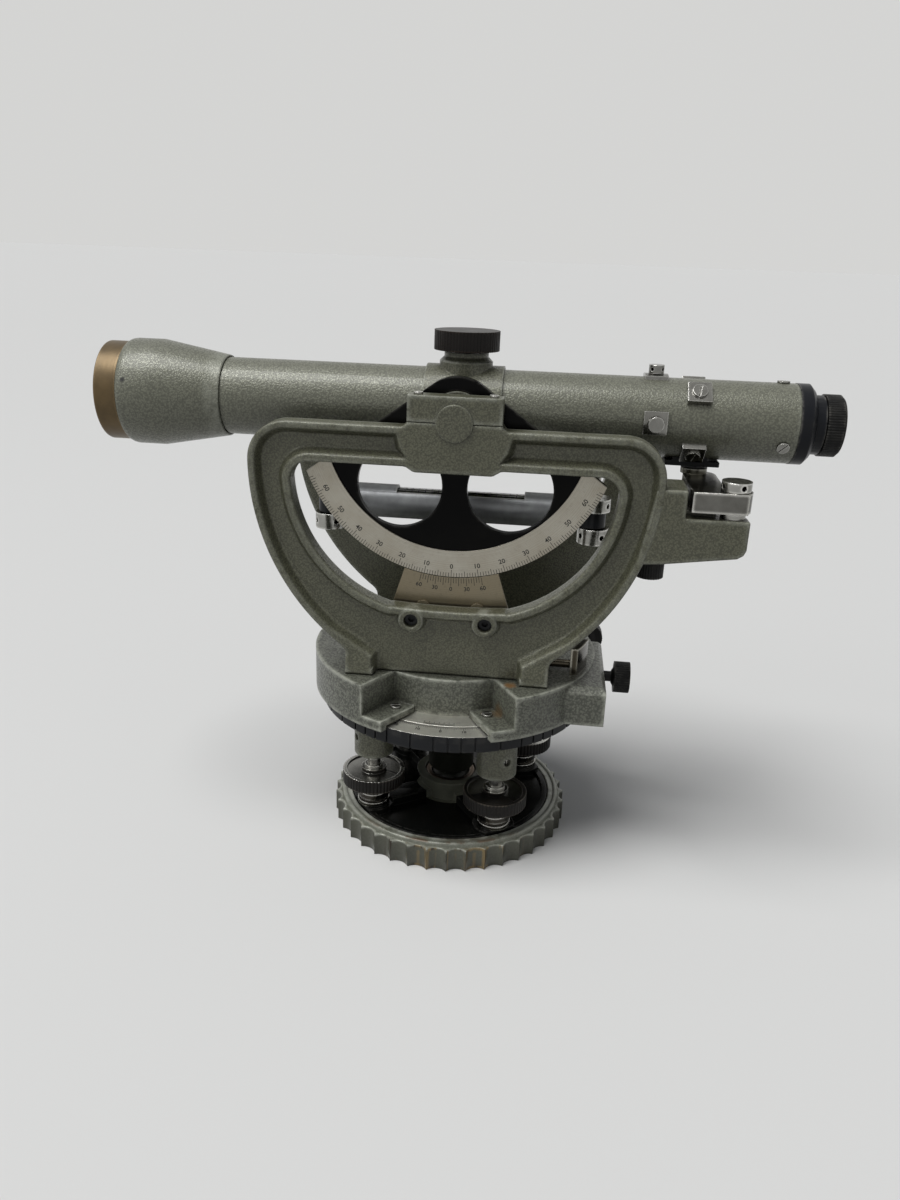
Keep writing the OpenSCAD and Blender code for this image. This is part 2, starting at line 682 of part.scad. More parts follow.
module bracket_plan() polygon([
  [60, br_top + 1], [60, br_top - 18.4], [72.2, br_top - 16.6], [br_x1 - 2.8, br_top - 13.1],
  [br_x1, br_top - 10], [br_x1, br_top], [step_x1, br_top], [step_x1, step_top], [65, step_top]]);

module frame_front() color("#6a6f5e") difference() {
  union() {
    mirror([0, 1, 0]) d_frame();
    upright(-fb, frame_t) difference() {
      bracket_plan();
      out_shape(0.4);
    }
    upright(-fy + shelf_d, shelf_d - 0.5) difference() {
      intersection() {
        bracket_plan();
        translate([60, 0]) square([60, br_top]);
      }
      out_shape(3);
    }
    translate([knob2_x, knob2_y, br_top - 15]) cylinder(r = 5.6, h = 15);
    translate([pivot_x, pivot_y, br_top - 1]) cylinder(r = 4.2, h = lever_z - br_top + 0.9);
  }
  translate([pivot_x, pivot_y, br_top - 10]) cylinder(r = pivot_r, h = 30, $fn = 48);
  translate([knob2_x, knob2_y, 60]) cylinder(r = knob2_r + fit, h = 100, $fn = 48);
}

module frame_rear() color("#6a6f5e") d_frame();

module frame_screws() color("#3c3c3c") for (a = [0, 1], x = foot_screw_x) mirror([0, a, 0])
  translate([x, -ym, ceiling_z - foot_head_h]) {
    cylinder(r = foot_head_r, h = foot_head_h, $fn = 48);
    cylinder(r = foot_screw_r, h = foot_head_h + drum_wall + 5.5, $fn = 32);
  }

module bearing_caps() color("#6a6f5e") for (a = [0, 1]) mirror([0, a, 0]) difference() {
  translate([-block_w, fb, trunnion_z]) cube([2 * block_w, frame_t, cap_h]);
  translate([0, fb - 5, trunnion_z]) rotate([-90, 0, 0]) cylinder(r = journal_r + fit, h = frame_t + 10);
  for (s = [-1, 1]) translate([s * cap_screw_x, ym, trunnion_z - 1])
    cylinder(r = cap_screw_r, h = 20, $fn = 32);
}
module cap_screws() color("#a5a5a0") for (a = [0, 1], s = [-1, 1]) mirror([0, a, 0])
  translate([s * cap_screw_x, ym, 0]) {
    translate([0, 0, trunnion_z + cap_h]) slot_head(cap_screw_r + 0.6, 0.8, 0.4);
    translate([0, 0, trunnion_z - cap_screw_l])
      cylinder(r = cap_screw_r, h = cap_h + cap_screw_l + eps, $fn = 32);
  }
module trunnion_covers() color("#6a6f5e") for (a = [0, 1]) mirror([0, a, 0])
  translate([0, fy, trunnion_z]) rotate([-90, 0, 0]) {
    cylinder(r = journal_r + 0.85, h = 0.9);
    translate([0, 0, -0.8]) cylinder(r = journal_r, h = 0.9);
  }

// vertical arc and its vernier
module cyl_y(x, z, r, y0, y1) {
  translate([x, y0, z]) rotate([-90, 0, 0]) cylinder(r = r, h = y1 - y0);
}
// plan about the trunnion, x to the right and z up
module arc_plan() difference() {
  intersection() {
    circle(r = arc_r, $fn = 200);
    union() {
      circle(r = arc_hub_r);
      polygon([
        [-arc_hub_r * sin(tan_a), arc_hub_r * cos(tan_a)], [arc_hub_r * sin(tan_a), arc_hub_r * cos(tan_a)],
        [90, arc_hub_r / cos(tan_a) - 90 * tan(tan_a)], [90, -90], [-90, -90],
        [-90, arc_hub_r / cos(tan_a) - 90 * tan(tan_a)]]);
    }
  }
  for (s = [-1, 1]) translate([s * (arc_hole_r + 4.4), -24]) circle(r = arc_hole_r);
}
module arc_casting() color("#131313") difference() {
  translate([0, -arc_y + plate_t + cast_t, tz]) rotate([90, 0, 0]) linear_extrude(height = cast_t) arc_plan();
  cyl_y(0, tz, arc_bore_r, -arc_y, -arc_y + 12);
}
module arc_scale() color("#b9b2a2") translate([0, -arc_y + plate_t, tz]) rotate([90, 0, 0])
  linear_extrude(height = plate_t) difference() {
    arc_plan();
    circle(r = arc_r - arc_w, $fn = 200);
  }
module arc_vernier() color("#b9b2a2") difference() {
  translate([0, -arc_y + vp_t, tz]) rotate([90, 0, 0]) linear_extrude(height = vp_t) difference() {
    intersection() {
      polygon([[0, 0], [90 * sin(17.4), -90 * cos(17.4)], [-90 * sin(17.4), -90 * cos(17.4)]]);
      translate([-90, -vp_out]) square([180, vp_out]);
    }
    circle(r = vp_in, $fn = 200);
  }
  for (s = [-1, 1]) {
    cyl_y(s * vp_screw_x, vp_screw_z, vp_screw_r, -arc_y - 5, 0);
    cyl_y(s * ear_x, ear_z, ear_screw_r + 0.2, -arc_y - 5, 0);
  }
}
module vernier_mount() color("#5d6254") difference() {
  union() {
    translate([-18.5, -fb, mount_z]) cube([37, mount_d, 5.5]);
    translate([-18.5, -arc_y + vp_t, mount_z]) cube([37, arc_y - vp_t - fb + mount_d, 13]);
  }
  for (s = [-1, 1]) {
    cyl_y(s * vp_screw_x, vp_screw_z, vp_screw_r, -60, 0);
    cyl_y(s * ear_x, ear_z, ear_screw_r, -60, 0);
  }
}
module vernier_screws() color("#b0aa98") for (s = [-1, 1]) translate([s * vp_screw_x, -arc_y, vp_screw_z])
  rotate([90, 0, 0]) {
    rotate([0, 0, 25 * s]) slot_head(vp_screw_r * 2, 0.9, 0.6);
    translate([0, 0, -7]) cylinder(r = vp_screw_r, h = 7 + eps, $fn = 32);
  }
module ear_screws() color("#2b2b2b") for (s = [-1, 1]) translate([s * ear_x, -fy + ear_depth, ear_z])
  rotate([90, 0, 0]) {
    difference() {
      cylinder(r = ear_hole_r - 0.1, h = 2.4, $fn = 48);
      translate([0, 0, 1]) cylinder(r = 1.2, h = 3, $fn = 6);
    }
    translate([0, 0, -9.5]) cylinder(r = ear_screw_r, h = 9.5 + eps, $fn = 32);
  }

// lock lever on the front frame's bracket
module pivot_screw() color("#b2b0a8") translate([pivot_x, pivot_y, 0]) {
  translate([0, 0, lever_top + 0.1]) capstan_head(5, 3.3, 0.9);
  translate([0, 0, br_top - 9.5]) cylinder(r = pivot_r, h = lever_top - br_top + 9.6 + eps, $fn = 48);
}
module lock_lever() color("#a9a79d") difference() {
  union() {
    translate([0, 0, lever_z]) linear_extrude(height = lever_t) {
      translate([80.4, -fy + 0.3]) square([14.4, 11.4]);
      translate([pivot_x, pivot_y]) circle(r = 5.6);
      translate([pivot_x - 0.2, -fy + 0.3]) square([4.1, 5.6]);
      translate([80.2, pivot_y]) square([11.6, 24.2]);
      translate([86, pivot_y + 24.2]) circle(r = 5.8);
    }
    translate([stud_x, stud_y, lever_top - eps]) cylinder(r = stud_r, h = stud_h);
  }
  translate([pivot_x, pivot_y, 0]) cylinder(r = pivot_r + fit, h = 300, $fn = 48);
}
module stop_knob() color("#161616") translate([knob2_x, knob2_y, 0]) {
  translate([0, 0, knob2_z]) linear_extrude(height = 6.5) knurl(5, 32, 0.3);
  translate([0, 0, knob2_z + 6]) cylinder(r = knob2_r, h = 22, $fn = 48);
}

// telescope
module radial(x, a, r) {
  // z of the child points outward at angle a above the -Y side
  translate([x, 0, tz]) rotate([90 - a, 0, 0]) translate([0, 0, r]) children();
}
module telescope_tube() color("#6e7367") {
  difference() {
    along_x(-tube_x0, tube_end_x, tube_r);
    along_x(-tube_x0 - 1, tube_end_x + 1, tube_in);
    translate([0, 0, tz]) cylinder(r = 6, h = 40);
    for (a = [0, 90, 180, 270]) radial(ret_x, a, 5) cylinder(r = 1.3, h = 20, $fn = 32);
    for (a = [45, 135, 225, 315]) radial(blk_x, a, 5) cylinder(r = 1.2, h = 20, $fn = 32);
    for (a = [-27, 93, 213]) radial(tube_end_x - 4.6, a, 5) cylinder(r = 1.1, h = 20, $fn = 32);
    for (s = [-1, 1]) translate([s * post_x, 0, tz - 30]) cylinder(r = post_r, h = 30, $fn = 32);
  }
  // rings that guide the focusing slide
  for (x = [-36, 28]) difference() {
    along_x(x, x + 4, tube_in + 0.1);
    along_x(x - 1, x + 5, fslide_r + fit);
  }
}
module center_sleeve() color("#6e7367") difference() {
  union() {
    along_x(-sleeve_half, sleeve_half, sleeve_or);
    cyl_y(0, tz, arc_bore_r + 1, -arc_y + plate_t + cast_t, arc_y - plate_t - cast_t);
    cyl_y(0, tz, arc_bore_r, -arc_y, arc_y);
    cyl_y(0, tz, journal_r, -fy + 1, fy - 1);
    translate([0, 0, tz]) cylinder(r = 9.6, h = sleeve_or + 1.4);
    translate([0, 0, tz + sleeve_or + 1.4 - eps]) cylinder(r1 = 9.6, r2 = 8, h = 1.6);
    translate([0, 0, tz + sleeve_or + 3 - 2 * eps]) cylinder(r = 8, h = 1.6);
  }
  along_x(-40, 40, tube_r + 0.01);
  translate([0, 0, tz]) cylinder(r = 6, h = 60);
}
module objective_bell() color("#6e7367") difference() {
  translate([0, 0, tz]) rotate([0, -90, 0]) rotate_extrude($fn = 128) polygon([
    [0, bell_x0], [tube_r + 0.75, bell_x0], [bell_r, obj_x - 20.6], [bell_r, obj_x - 10.8],
    [bell_r - 0.2, obj_x - 9.6], [bell_r - 0.75, cell_x], [0, cell_x]]);
  along_x(-tube_x0 - 0.5, 0, tube_r + 0.01);
  along_x(-obj_x + 9, -tube_x0 - 1, tube_r - 0.3);
  along_x(-obj_x, -obj_x + 14.5, obj_ring_r - 2.4);
}
module objective_ring() color("#8c6b3a") difference() {
  union() {
    along_x(-obj_x, -cell_x, obj_ring_r);
    along_x(-cell_x - eps, -cell_x + 1.5, obj_ring_r - 2.45);
  }
  along_x(-obj_x - 1, 0, obj_ring_r - 3.6);
}
module objective_lens() color("#a9c4cf") intersection() {
  along_x(-cell_x + 1.6, -cell_x + 6, obj_ring_r - 2.5);
  translate([-cell_x + 1.6 + 45, 0, tz]) sphere(r = 45, $fn = 128);
}

// ten teeth, for a rack with straight teeth
module pinion_plan() {
  circle(r = pin_pr - 1);
  for (k = [0 : pin_n - 1]) rotate(90 + k * 360 / pin_n) polygon([
    [pin_pr - 1.3, -0.52], [pin_pr, -0.36], [pin_pr + 0.7, -0.2], [pin_pr + 0.7, 0.2], [pin_pr, 0.36],
    [pin_pr - 1.3, 0.52]]);
}
module focus_knob() color("#241c17") {
  translate([0, 0, focus_z + 0.3]) linear_extrude(height = focus_knob_h) knurl(focus_knob_r, 60, 0.38);
  translate([0, 0, pin_z]) cylinder(r = 2.5, h = focus_z + 0.4 - pin_z, $fn = 48);
  translate([0, 0, pin_z]) linear_extrude(height = 1.8) pinion_plan();
}
module focus_slide() color("#8f8f8a") difference() {
  w = PI * pin_m;
  union() {
    along_x(-50, 44, fslide_r);
    // rack beside the pinion, its pitch line at the pinion's pitch radius
    translate([-12.6, pin_pr + 1, tz + 5]) cube([25.2, 1.9, pin_z + 1.8 - tz - 5]);
    for (k = [-5 : 4]) translate([(k + 0.5) * w, 0, pin_z]) linear_extrude(height = 1.8) polygon([
      [-0.62, pin_pr + 1.1], [-0.28, pin_pr - 0.6], [0.28, pin_pr - 0.6], [0.62, pin_pr + 1.1]]);
  }
  along_x(-60, 60, fslide_r - 1.3);
}
module reticle() color("#7f7a6a") difference() {
  along_x(ret_x - 3, ret_x + 3, tube_in - 1.2);
  along_x(ret_x - 4, ret_x - 0.8, 6.5);
  along_x(ret_x + 0.8, ret_x + 4, 6.5);
  for (a = [0, 90, 180, 270]) radial(ret_x, a, tube_in - 4) cylinder(r = 1.3, h = 20, $fn = 32);
}
module pad_square(x, a, half, t) intersection() {
  difference() {
    along_x(x - half, x + half, tube_r + t);
    along_x(x - half - 1, x + half + 1, tube_r + 0.01);
  }
  radial(x, a, 5) translate([-half, -half, 0]) cube([2 * half, 2 * half, 30]);
}
module reticle_screws() color("#b4b2a9") for (a = [0, 90, 180, 270]) {
  difference() {
    pad_square(ret_x, a, 4.1, 1.3);
    radial(ret_x, a, 5) cylinder(r = 1.3, h = 30, $fn = 32);
  }
  radial(ret_x, a, tube_r + 1.32) rotate([0, 0, 30]) capstan_head(2.7, 3, 0.6);
  radial(ret_x, a, tube_in - 4) cylinder(r = 1.3, h = tube_r + 1.4 - tube_in + 4, $fn = 32);
}
module erector_cell() color("#57534a") difference() {
  along_x(blk_x - 5, blk_x + 5, tube_in - 1.2);
  along_x(blk_x - 6, blk_x - 1, 6);
  along_x(blk_x + 1, blk_x + 6, 6);
  for (a = [45, 135, 225, 315]) radial(blk_x, a, tube_in - 4) cylinder(r = 1.2, h = 20, $fn = 32);
}
module erector_screws() color("#b4b2a9") for (a = [45, 135, 225, 315]) {
  difference() {
    intersection() {
      radial(blk_x, a, 10) translate([-4.1, -4.1, 0]) cube([8.2, 8.2, tube_r + 1.7 - 10]);
      along_x(blk_x - 10, blk_x + 10, 30);
    }
    along_x(blk_x - 10, blk_x + 10, tube_r + 0.01);
    radial(blk_x, a, 5) cylinder(r = 1.2, h = 30, $fn = 32);
  }
  radial(blk_x, a, tube_r + 1.72) rotate([0, 0, 80]) slot_head(2.6, 0.8, 0.55);
  radial(blk_x, a, tube_in - 4) cylinder(r = 1.2, h = tube_r + 1.75 - tube_in + 4, $fn = 32);
}
module eyepiece_mount() color("#17181a") difference() {
  translate([0, 0, tz]) rotate([0, 90, 0]) rotate_extrude($fn = 128) polygon([
    [0, tube_end_x - 9], [tube_in - 0.01, tube_end_x - 9], [tube_in - 0.01, tube_end_x],
    [tube_r + 0.15, tube_end_x], [tube_r + 0.15, tube_end_x + 4.2], [tube_r - 1.6, tube_end_x + 5.8],
    [eye_ring_r - 0.5, tube_end_x + 6.2], [eye_ring_r - 0.5, eye_x - 0.3], [0, eye_x - 0.3]]);
  along_x(tube_end_x - 20, eye_x + 5, eye_bar_r + fit);
  for (a = [-27, 93, 213]) radial(tube_end_x - 4.6, a, eye_bar_r + 1.5) cylinder(r = 1.1, h = 20, $fn = 32);
}
module end_screws() color("#b4b2a9") for (a = [-27, 93, 213]) radial(tube_end_x - 4.6, a, 0) {
  translate([0, 0, tube_r + 0.02]) rotate([0, 0, 50]) slot_head(2.2, 0.7, 0.5);
  translate([0, 0, eye_bar_r + 1.5]) cylinder(r = 1.1, h = tube_r - eye_bar_r - 1.4, $fn = 32);
}
module eyepiece_ring() color("#141415") difference() {
  union() {
    translate([eye_x, 0, tz]) rotate([0, 90, 0]) linear_extrude(height = 5.6) knurl(eye_ring_r, 72, 0.28);
    along_x(eye_x + 5.6 - eps, eye_x + 6.4, eye_ring_r - 0.8);
    along_x(tube_end_x - 16, eye_x + 1, eye_bar_r);
  }
  along_x(tube_end_x - 17, eye_x + 3.5, eye_bar_r - 1.3);
  along_x(eye_x, eye_x + 10, 5.6);
}
module eye_lens() color("#a9c4cf") {
  along_x(eye_x + 1, eye_x + 3.4, eye_bar_r - 1.31);
  along_x(tube_end_x - 14, tube_end_x - 12, eye_bar_r - 1.31);
}
module lock_pad() color("#232120") difference() {
  translate([pad_x0, -6, pad_z]) cube([pad_x1 - pad_x0, 12, 5]);
  along_x(60, 110, tube_r + 0.01);
  translate([60, -20, pad_z + pad_t]) difference() {
    cube([60, 40, 5]);
    translate([16, 14, -1]) cube([12.5, 12, 8]);
  }
}

// level vial under the telescope
module vial_tube() color("#9fa2a3") difference() {
  translate([-vial_half_l, 0, vial_z]) rotate([0, 90, 0]) cylinder(r = vial_r, h = 2 * vial_half_l);
  translate([-vial_half_l + 3, 0, vial_z]) rotate([0, 90, 0])
    cylinder(r = vial_r - 1.1, h = 2 * vial_half_l - 6);
  translate([-24, -4.6, vial_z + vial_r - 2]) cube([48, 9.2, 10]);
}
module vial_glass() color("#b9c9a0") translate([-vial_half_l + 3.5, 0, vial_z]) rotate([0, 90, 0])
  cylinder(r = glass_r, h = 2 * vial_half_l - 7);
module vial_lugs() color("#141414") for (s = [0, 1]) mirror([s, 0, 0]) difference() {
  union() {
    translate([vial_half_l, 0, vial_z]) rotate([0, 90, 0]) cylinder(r = vial_r - 0.4, h = 2);
    translate([0, 0, lug_z0]) linear_extrude(height = lug_z1 - lug_z0) {
      translate([vial_half_l + 1, -3.6]) square([post_x - vial_half_l - 1, 7.2]);
      translate([post_x, 0]) circle(r = 4.4);
    }
  }
  translate([post_x, 0, lug_z0 - 1]) cylinder(r = post_r + fit, h = 20, $fn = 32);
}
// posts that hang the vial from the tube, each with its capstan nuts
module vial_nuts() color("#b4b2a9") for (s = [-1, 1]) translate([s * post_x, 0, 0]) {
  translate([0, 0, lug_z0 - 7]) cylinder(r = post_r, h = tz - tube_in - lug_z0 + 7, $fn = 32);
  translate([0, 0, lug_z0 - 6.3]) rotate([0, 0, 15]) difference() {
    capstan_head(5.8, 6, 1);
    translate([0, 0, -1]) cylinder(r = post_r - 0.2, h = 9, $fn = 32);
  }
  translate([0, 0, lug_z1]) if (s > 0) rotate([0, 0, 35]) difference() {
    translate([0, 0, 0.1]) capstan_head(5.8, 4.9, 1);
    translate([0, 0, -1]) cylinder(r = post_r - 0.2, h = 9, $fn = 32);
  } else cylinder(r1 = 3.4, r2 = post_r, h = 4.6, $fn = 32);
}

tripod_ring();
foot_plate();
shoes();
ball_retainer();
stem_seal();
ball_stem();
levelling_head();
tension_screws();
tip_ball_1();
tip_ball_2();
tip_ball_3();
tip_ball_4();
level_screw_1();
level_screw_2();
level_screw_3();
level_screw_4();
spindle();
circle_rim();
circle_scale();
drum_housing();
horizontal_vernier();
window_screws();
clamp_screw();
tangent_screw();
clamp_post();
frame_front();
frame_rear();
frame_screws();
bearing_caps();
cap_screws();
trunnion_covers();
arc_vernier();
vernier_mount();
vernier_screws();
ear_screws();
pivot_screw();
lock_lever();
stop_knob();
telescope_tube();
center_sleeve();
arc_casting();
arc_scale();
objective_bell();
objective_ring();
objective_lens();
focus_knob();
focus_slide();
reticle();
reticle_screws();
erector_cell();
erector_screws();
eyepiece_mount();
end_screws();
eyepiece_ring();
eye_lens();
lock_pad();
vial_tube();
vial_glass();
vial_lugs();
vial_nuts();
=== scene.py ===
import bmesh
import bpy
import numpy as np
from mathutils import Matrix, Vector


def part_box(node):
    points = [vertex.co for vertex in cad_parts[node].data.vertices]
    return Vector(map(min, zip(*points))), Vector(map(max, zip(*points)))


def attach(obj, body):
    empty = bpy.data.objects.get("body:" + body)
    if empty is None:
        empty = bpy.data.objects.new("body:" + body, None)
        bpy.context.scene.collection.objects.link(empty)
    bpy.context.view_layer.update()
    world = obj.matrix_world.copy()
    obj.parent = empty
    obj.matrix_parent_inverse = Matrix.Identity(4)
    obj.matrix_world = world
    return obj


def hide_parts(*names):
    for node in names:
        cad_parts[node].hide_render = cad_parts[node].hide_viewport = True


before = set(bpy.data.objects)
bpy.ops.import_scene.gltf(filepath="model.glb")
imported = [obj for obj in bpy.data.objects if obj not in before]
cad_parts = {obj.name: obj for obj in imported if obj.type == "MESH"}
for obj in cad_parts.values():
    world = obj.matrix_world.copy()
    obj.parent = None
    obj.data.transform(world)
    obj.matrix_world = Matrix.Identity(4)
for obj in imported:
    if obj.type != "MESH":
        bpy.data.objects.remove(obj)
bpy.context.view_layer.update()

# Camera
# It stands a little right of the middle, above the telescope, and looks down at 20 degrees.
# It leans by two degrees to the side.
scene = bpy.context.scene
azimuth, pitch, roll = np.radians([5.460, 20.128, 2.078])
standpoint = (0.03076, -0.35140, 0.22206)
forward = np.array([-np.sin(azimuth) * np.cos(pitch), np.cos(azimuth) * np.cos(pitch), -np.sin(pitch)])
level_right = np.array([np.cos(azimuth), np.sin(azimuth), 0.0])
level_up = np.cross(level_right, forward)
right = np.cos(roll) * level_right + np.sin(roll) * level_up
up = -np.sin(roll) * level_right + np.cos(roll) * level_up
lens = bpy.data.cameras.new("camera")
lens.sensor_fit = "VERTICAL"
lens.sensor_height = 36
lens.lens = 28.568
lens.clip_start = 0.01
camera = bpy.data.objects.new("camera", lens)
turn = Matrix(np.column_stack([right, up, -forward]).tolist()).to_4x4()
camera.matrix_world = Matrix.Translation(standpoint) @ turn
scene.collection.objects.link(camera)
scene.camera = camera
scene.view_settings.view_transform = "Standard"


# Hammered enamel
# The castings are sprayed with a grey-green hammered enamel that dries in small cells.
# It wears through to the metal on the crests, which also carry a painted highlight, and painted shade
# darkens the corners.
class Nodes:
    """Adds nodes to one material and links them: a value that is a socket is linked, any other is set."""

    def __init__(self, name):
        self.material = bpy.data.materials.new(name)
        self.material.use_nodes = True
        self.tree = self.material.node_tree
        self.surface = self.tree.nodes["Principled BSDF"]

    def add(self, kind, output=0, inputs=None, **settings):
        node = self.tree.nodes.new(kind)
        for key, value in settings.items():
            setattr(node, key, value)
        for key, value in (inputs or {}).items():
            self.put(node.inputs[key], value)
        return node.outputs[output]

    def put(self, socket, value):
        if isinstance(value, bpy.types.NodeSocket):
            self.tree.links.new(value, socket)
        else:
            socket.default_value = value

    def math(self, operation, a, b=0.0, clamp=False):
        return self.add("ShaderNodeMath", inputs={0: a, 1: b}, operation=operation, use_clamp=clamp)

    def times(self, a, b):
        return self.math("MULTIPLY", a, b)

    def ramp(self, value, low, high):
        """0 up to low, 1 from high, and a straight slope between."""
        span = {"Value": value, "From Min": low, "From Max": high}
        return self.add("ShaderNodeMapRange", inputs=span, clamp=True)

    def between(self, value, low, high):
        """low where the value is 0 and high where it is 1."""
        return self.add("ShaderNodeMapRange", inputs={"Value": value, "To Min": low, "To Max": high})

    def mix(self, share, a, b):
        a = (*a, 1) if isinstance(a, tuple) and len(a) == 3 else a
        b = (*b, 1) if isinstance(b, tuple) and len(b) == 3 else b
        return self.add("ShaderNodeMix", 2, {0: share, 6: a, 7: b}, data_type="RGBA")

    def place(self, scale=(1, 1, 1)):
        here = self.add("ShaderNodeTexCoord", 3)
        return self.add("ShaderNodeMapping", inputs={"Vector": here, "Scale": scale})

    def along(self, where, axis):
        """One coordinate of a place: axis is 0, 1 or 2."""
        return self.add("ShaderNodeSeparateXYZ", axis, {0: where})

    def noise(self, where, scale, detail=2.0, rough=0.5, output=0):
        grain = {"Vector": where, "Scale": scale, "Detail": detail, "Roughness": rough}
        return self.add("ShaderNodeTexNoise", output, grain)

    def crest(self, distance):
        """0 on a flat and about 0.5 on an outer edge: how much of the surroundings lies below the point."""
        depth = self.add("ShaderNodeAmbientOcclusion", 1, {"Distance": distance}, samples=6, inside=True,
                         only_local=True)
        return self.math("SUBTRACT", 1.0, depth, clamp=True)

    def corner(self, distance):
        """0 in the open and 1 deep in a corner."""
        open_sky = self.add("ShaderNodeAmbientOcclusion", 1, {"Distance": distance}, samples=4)
        return self.math("SUBTRACT", 1.0, open_sky, clamp=True)

    def stain(self, colour, where, centre, radius, tint, share):
        """A ragged patch of another colour round a centre."""
        far = self.add("ShaderNodeVectorMath", 1, {0: where, 1: centre}, operation="DISTANCE")
        ragged = self.math("ADD", far, self.times(self.noise(where, 450.0, 4.0, 0.65), radius))
        patch = self.ramp(ragged, radius * 1.5, radius * 0.9)
        return self.mix(self.times(patch, share), colour, tint)

    def rounded(self, radius):
        """The normal, with sharp edges rolled over to this radius."""
        return self.add("ShaderNodeBevel", inputs={"Radius": radius}, samples=4)

    def set(self, **values):
        for key, value in values.items():
            self.put(self.surface.inputs[key.replace("_", " ")], value)
        return self.material

    def bump(self, height, distance, strength=1.0, normal=None):
        sockets = {"Height": height, "Distance": distance, "Strength": strength}
        if normal is not None:
            sockets["Normal"] = normal
        return self.add("ShaderNodeBump", inputs=sockets)


def hammered(name, tone, cell=1500.0, depth=0.30, wear_and_highlight=0.55, corner_shade=0.6, stains_and_shade=(), edge=0.0020):
    """Enamel in cells: each is pale in the middle, and falls to a dark vein where it meets the next."""
    n = Nodes(name)
    where = n.place()
    drift = n.noise(where, 700.0, 2.0, 0.6, 1)
    farthest = 0.0011
    bent = n.add("ShaderNodeVectorMath", inputs={0: drift, 3: farthest}, operation="SCALE")
    bent = n.add("ShaderNodeVectorMath", inputs={0: where, 1: bent}, operation="ADD")
    cells = n.add("ShaderNodeTexVoronoi", inputs={"Vector": bent, "Scale": cell}, feature="F1")
    fine = n.noise(where, cell * 2.2, 2.0, 0.6)
    broad = n.noise(where, 30.0, 3.0, 0.55)
    ragged = n.times(n.math("SUBTRACT", fine, 0.5), 1.5)
    vein = n.math("ADD", n.ramp(cells, 0.26, 0.70), ragged, clamp=True)
    dark = tuple(c * (1 - depth) for c in tone)
    light = tuple(c * (1 + 0.75 * depth) for c in tone)
    colour = n.mix(vein, light, dark)
    shade = tuple(c * 0.62 for c in tone)
    colour = n.mix(n.times(n.ramp(broad, 0.42, 0.75), 0.30), colour, shade)
    # Painted shade: the enamel darkens towards near black in corners and recesses, by how closed in each
    # point is.
    corner = n.corner(0.0070)
    painted_shade = n.times(n.ramp(corner, 0.16, 0.80), corner_shade)
    colour = n.mix(painted_shade, colour, (0.022, 0.020, 0.014))
    for centre, radius, tint, share in stains_and_shade:
        colour = n.stain(colour, where, centre, radius, tint, share)
    # The crests are worn to the metal and also carry a painted highlight, both in one pale colour.
    crest = n.crest(edge)
    broken = n.ramp(n.noise(where, 260.0, 3.0, 0.6), 0.32, 0.56)
    bare_and_highlight = n.times(n.times(n.ramp(crest, 0.13, 0.36), broken), wear_and_highlight)
    bare_and_highlight = n.times(bare_and_highlight, n.math("SUBTRACT", 1.0, n.ramp(corner, 0.35, 0.65)))
    colour = n.mix(bare_and_highlight, colour, (0.38, 0.39, 0.33))
    rough = n.between(vein, 0.30, 0.46)
    height = n.math("SUBTRACT", 1.0, vein)
    rounded = n.rounded(0.0009)
    return n.set(Base_Color=colour, Roughness=rough, Metallic=0.22, Coat_Weight=0.20, Coat_Roughness=0.18,
                 Normal=n.bump(height, 0.00009, 0.6, rounded))


# The thin enamel is for covers and collars, whose walls are too thin for the castings' wide worn edge and
# its painted highlight.
casting_enamel = hammered("casting_enamel", (0.106, 0.107, 0.070), depth=0.42)
thin_enamel = hammered("thin_enamel", (0.106, 0.107, 0.072), depth=0.42, wear_and_highlight=0.7, edge=0.0006)


def mounted(data, body, nodes=()):
    """The mesh as a piece that rides a body, in place of the solids that nodes names."""
    piece = bpy.data.objects.new(data.name, data)
    scene.collection.objects.link(piece)
    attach(piece, body)
    if nodes:
        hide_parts(*nodes)
    return piece


def shaded(data, material, sharpest=32):
    """Round parts shaded smooth, and edges over this many degrees left sharp."""
    data.shade_smooth()
    data.set_sharp_from_angle(angle=np.radians(sharpest))
    data.materials.clear()
    data.materials.append(material)


def filed(piece, width, segments, miter="MITER_ARC"):
    """Each edge of more than 35 degrees rounded to this width."""
    edge = piece.modifiers.new("edge", "BEVEL")
    edge.width = width
    edge.segments = segments
    edge.limit_method = "ANGLE"
    edge.angle_limit = np.radians(35)
    edge.harden_normals = True
    edge.miter_outer = miter


def smoothed(node, body, material, bevel=0.0, segments=2):
    """The solid again, its doubles merged and its flat triangles joined, with filed edges."""
    mesh = bmesh.new()
    mesh.from_mesh(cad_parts[node].data)
    bmesh.ops.remove_doubles(mesh, verts=mesh.verts, dist=1e-6)
    bmesh.ops.dissolve_limit(mesh, angle_limit=np.radians(0.5), verts=mesh.verts, edges=mesh.edges)
    data = bpy.data.meshes.new(node + "_shown")
    mesh.to_mesh(data)
    mesh.free()
    shaded(data, material)
    piece = mounted(data, body, (node,))
    if bevel:
        filed(piece, bevel, segments)
    return piece


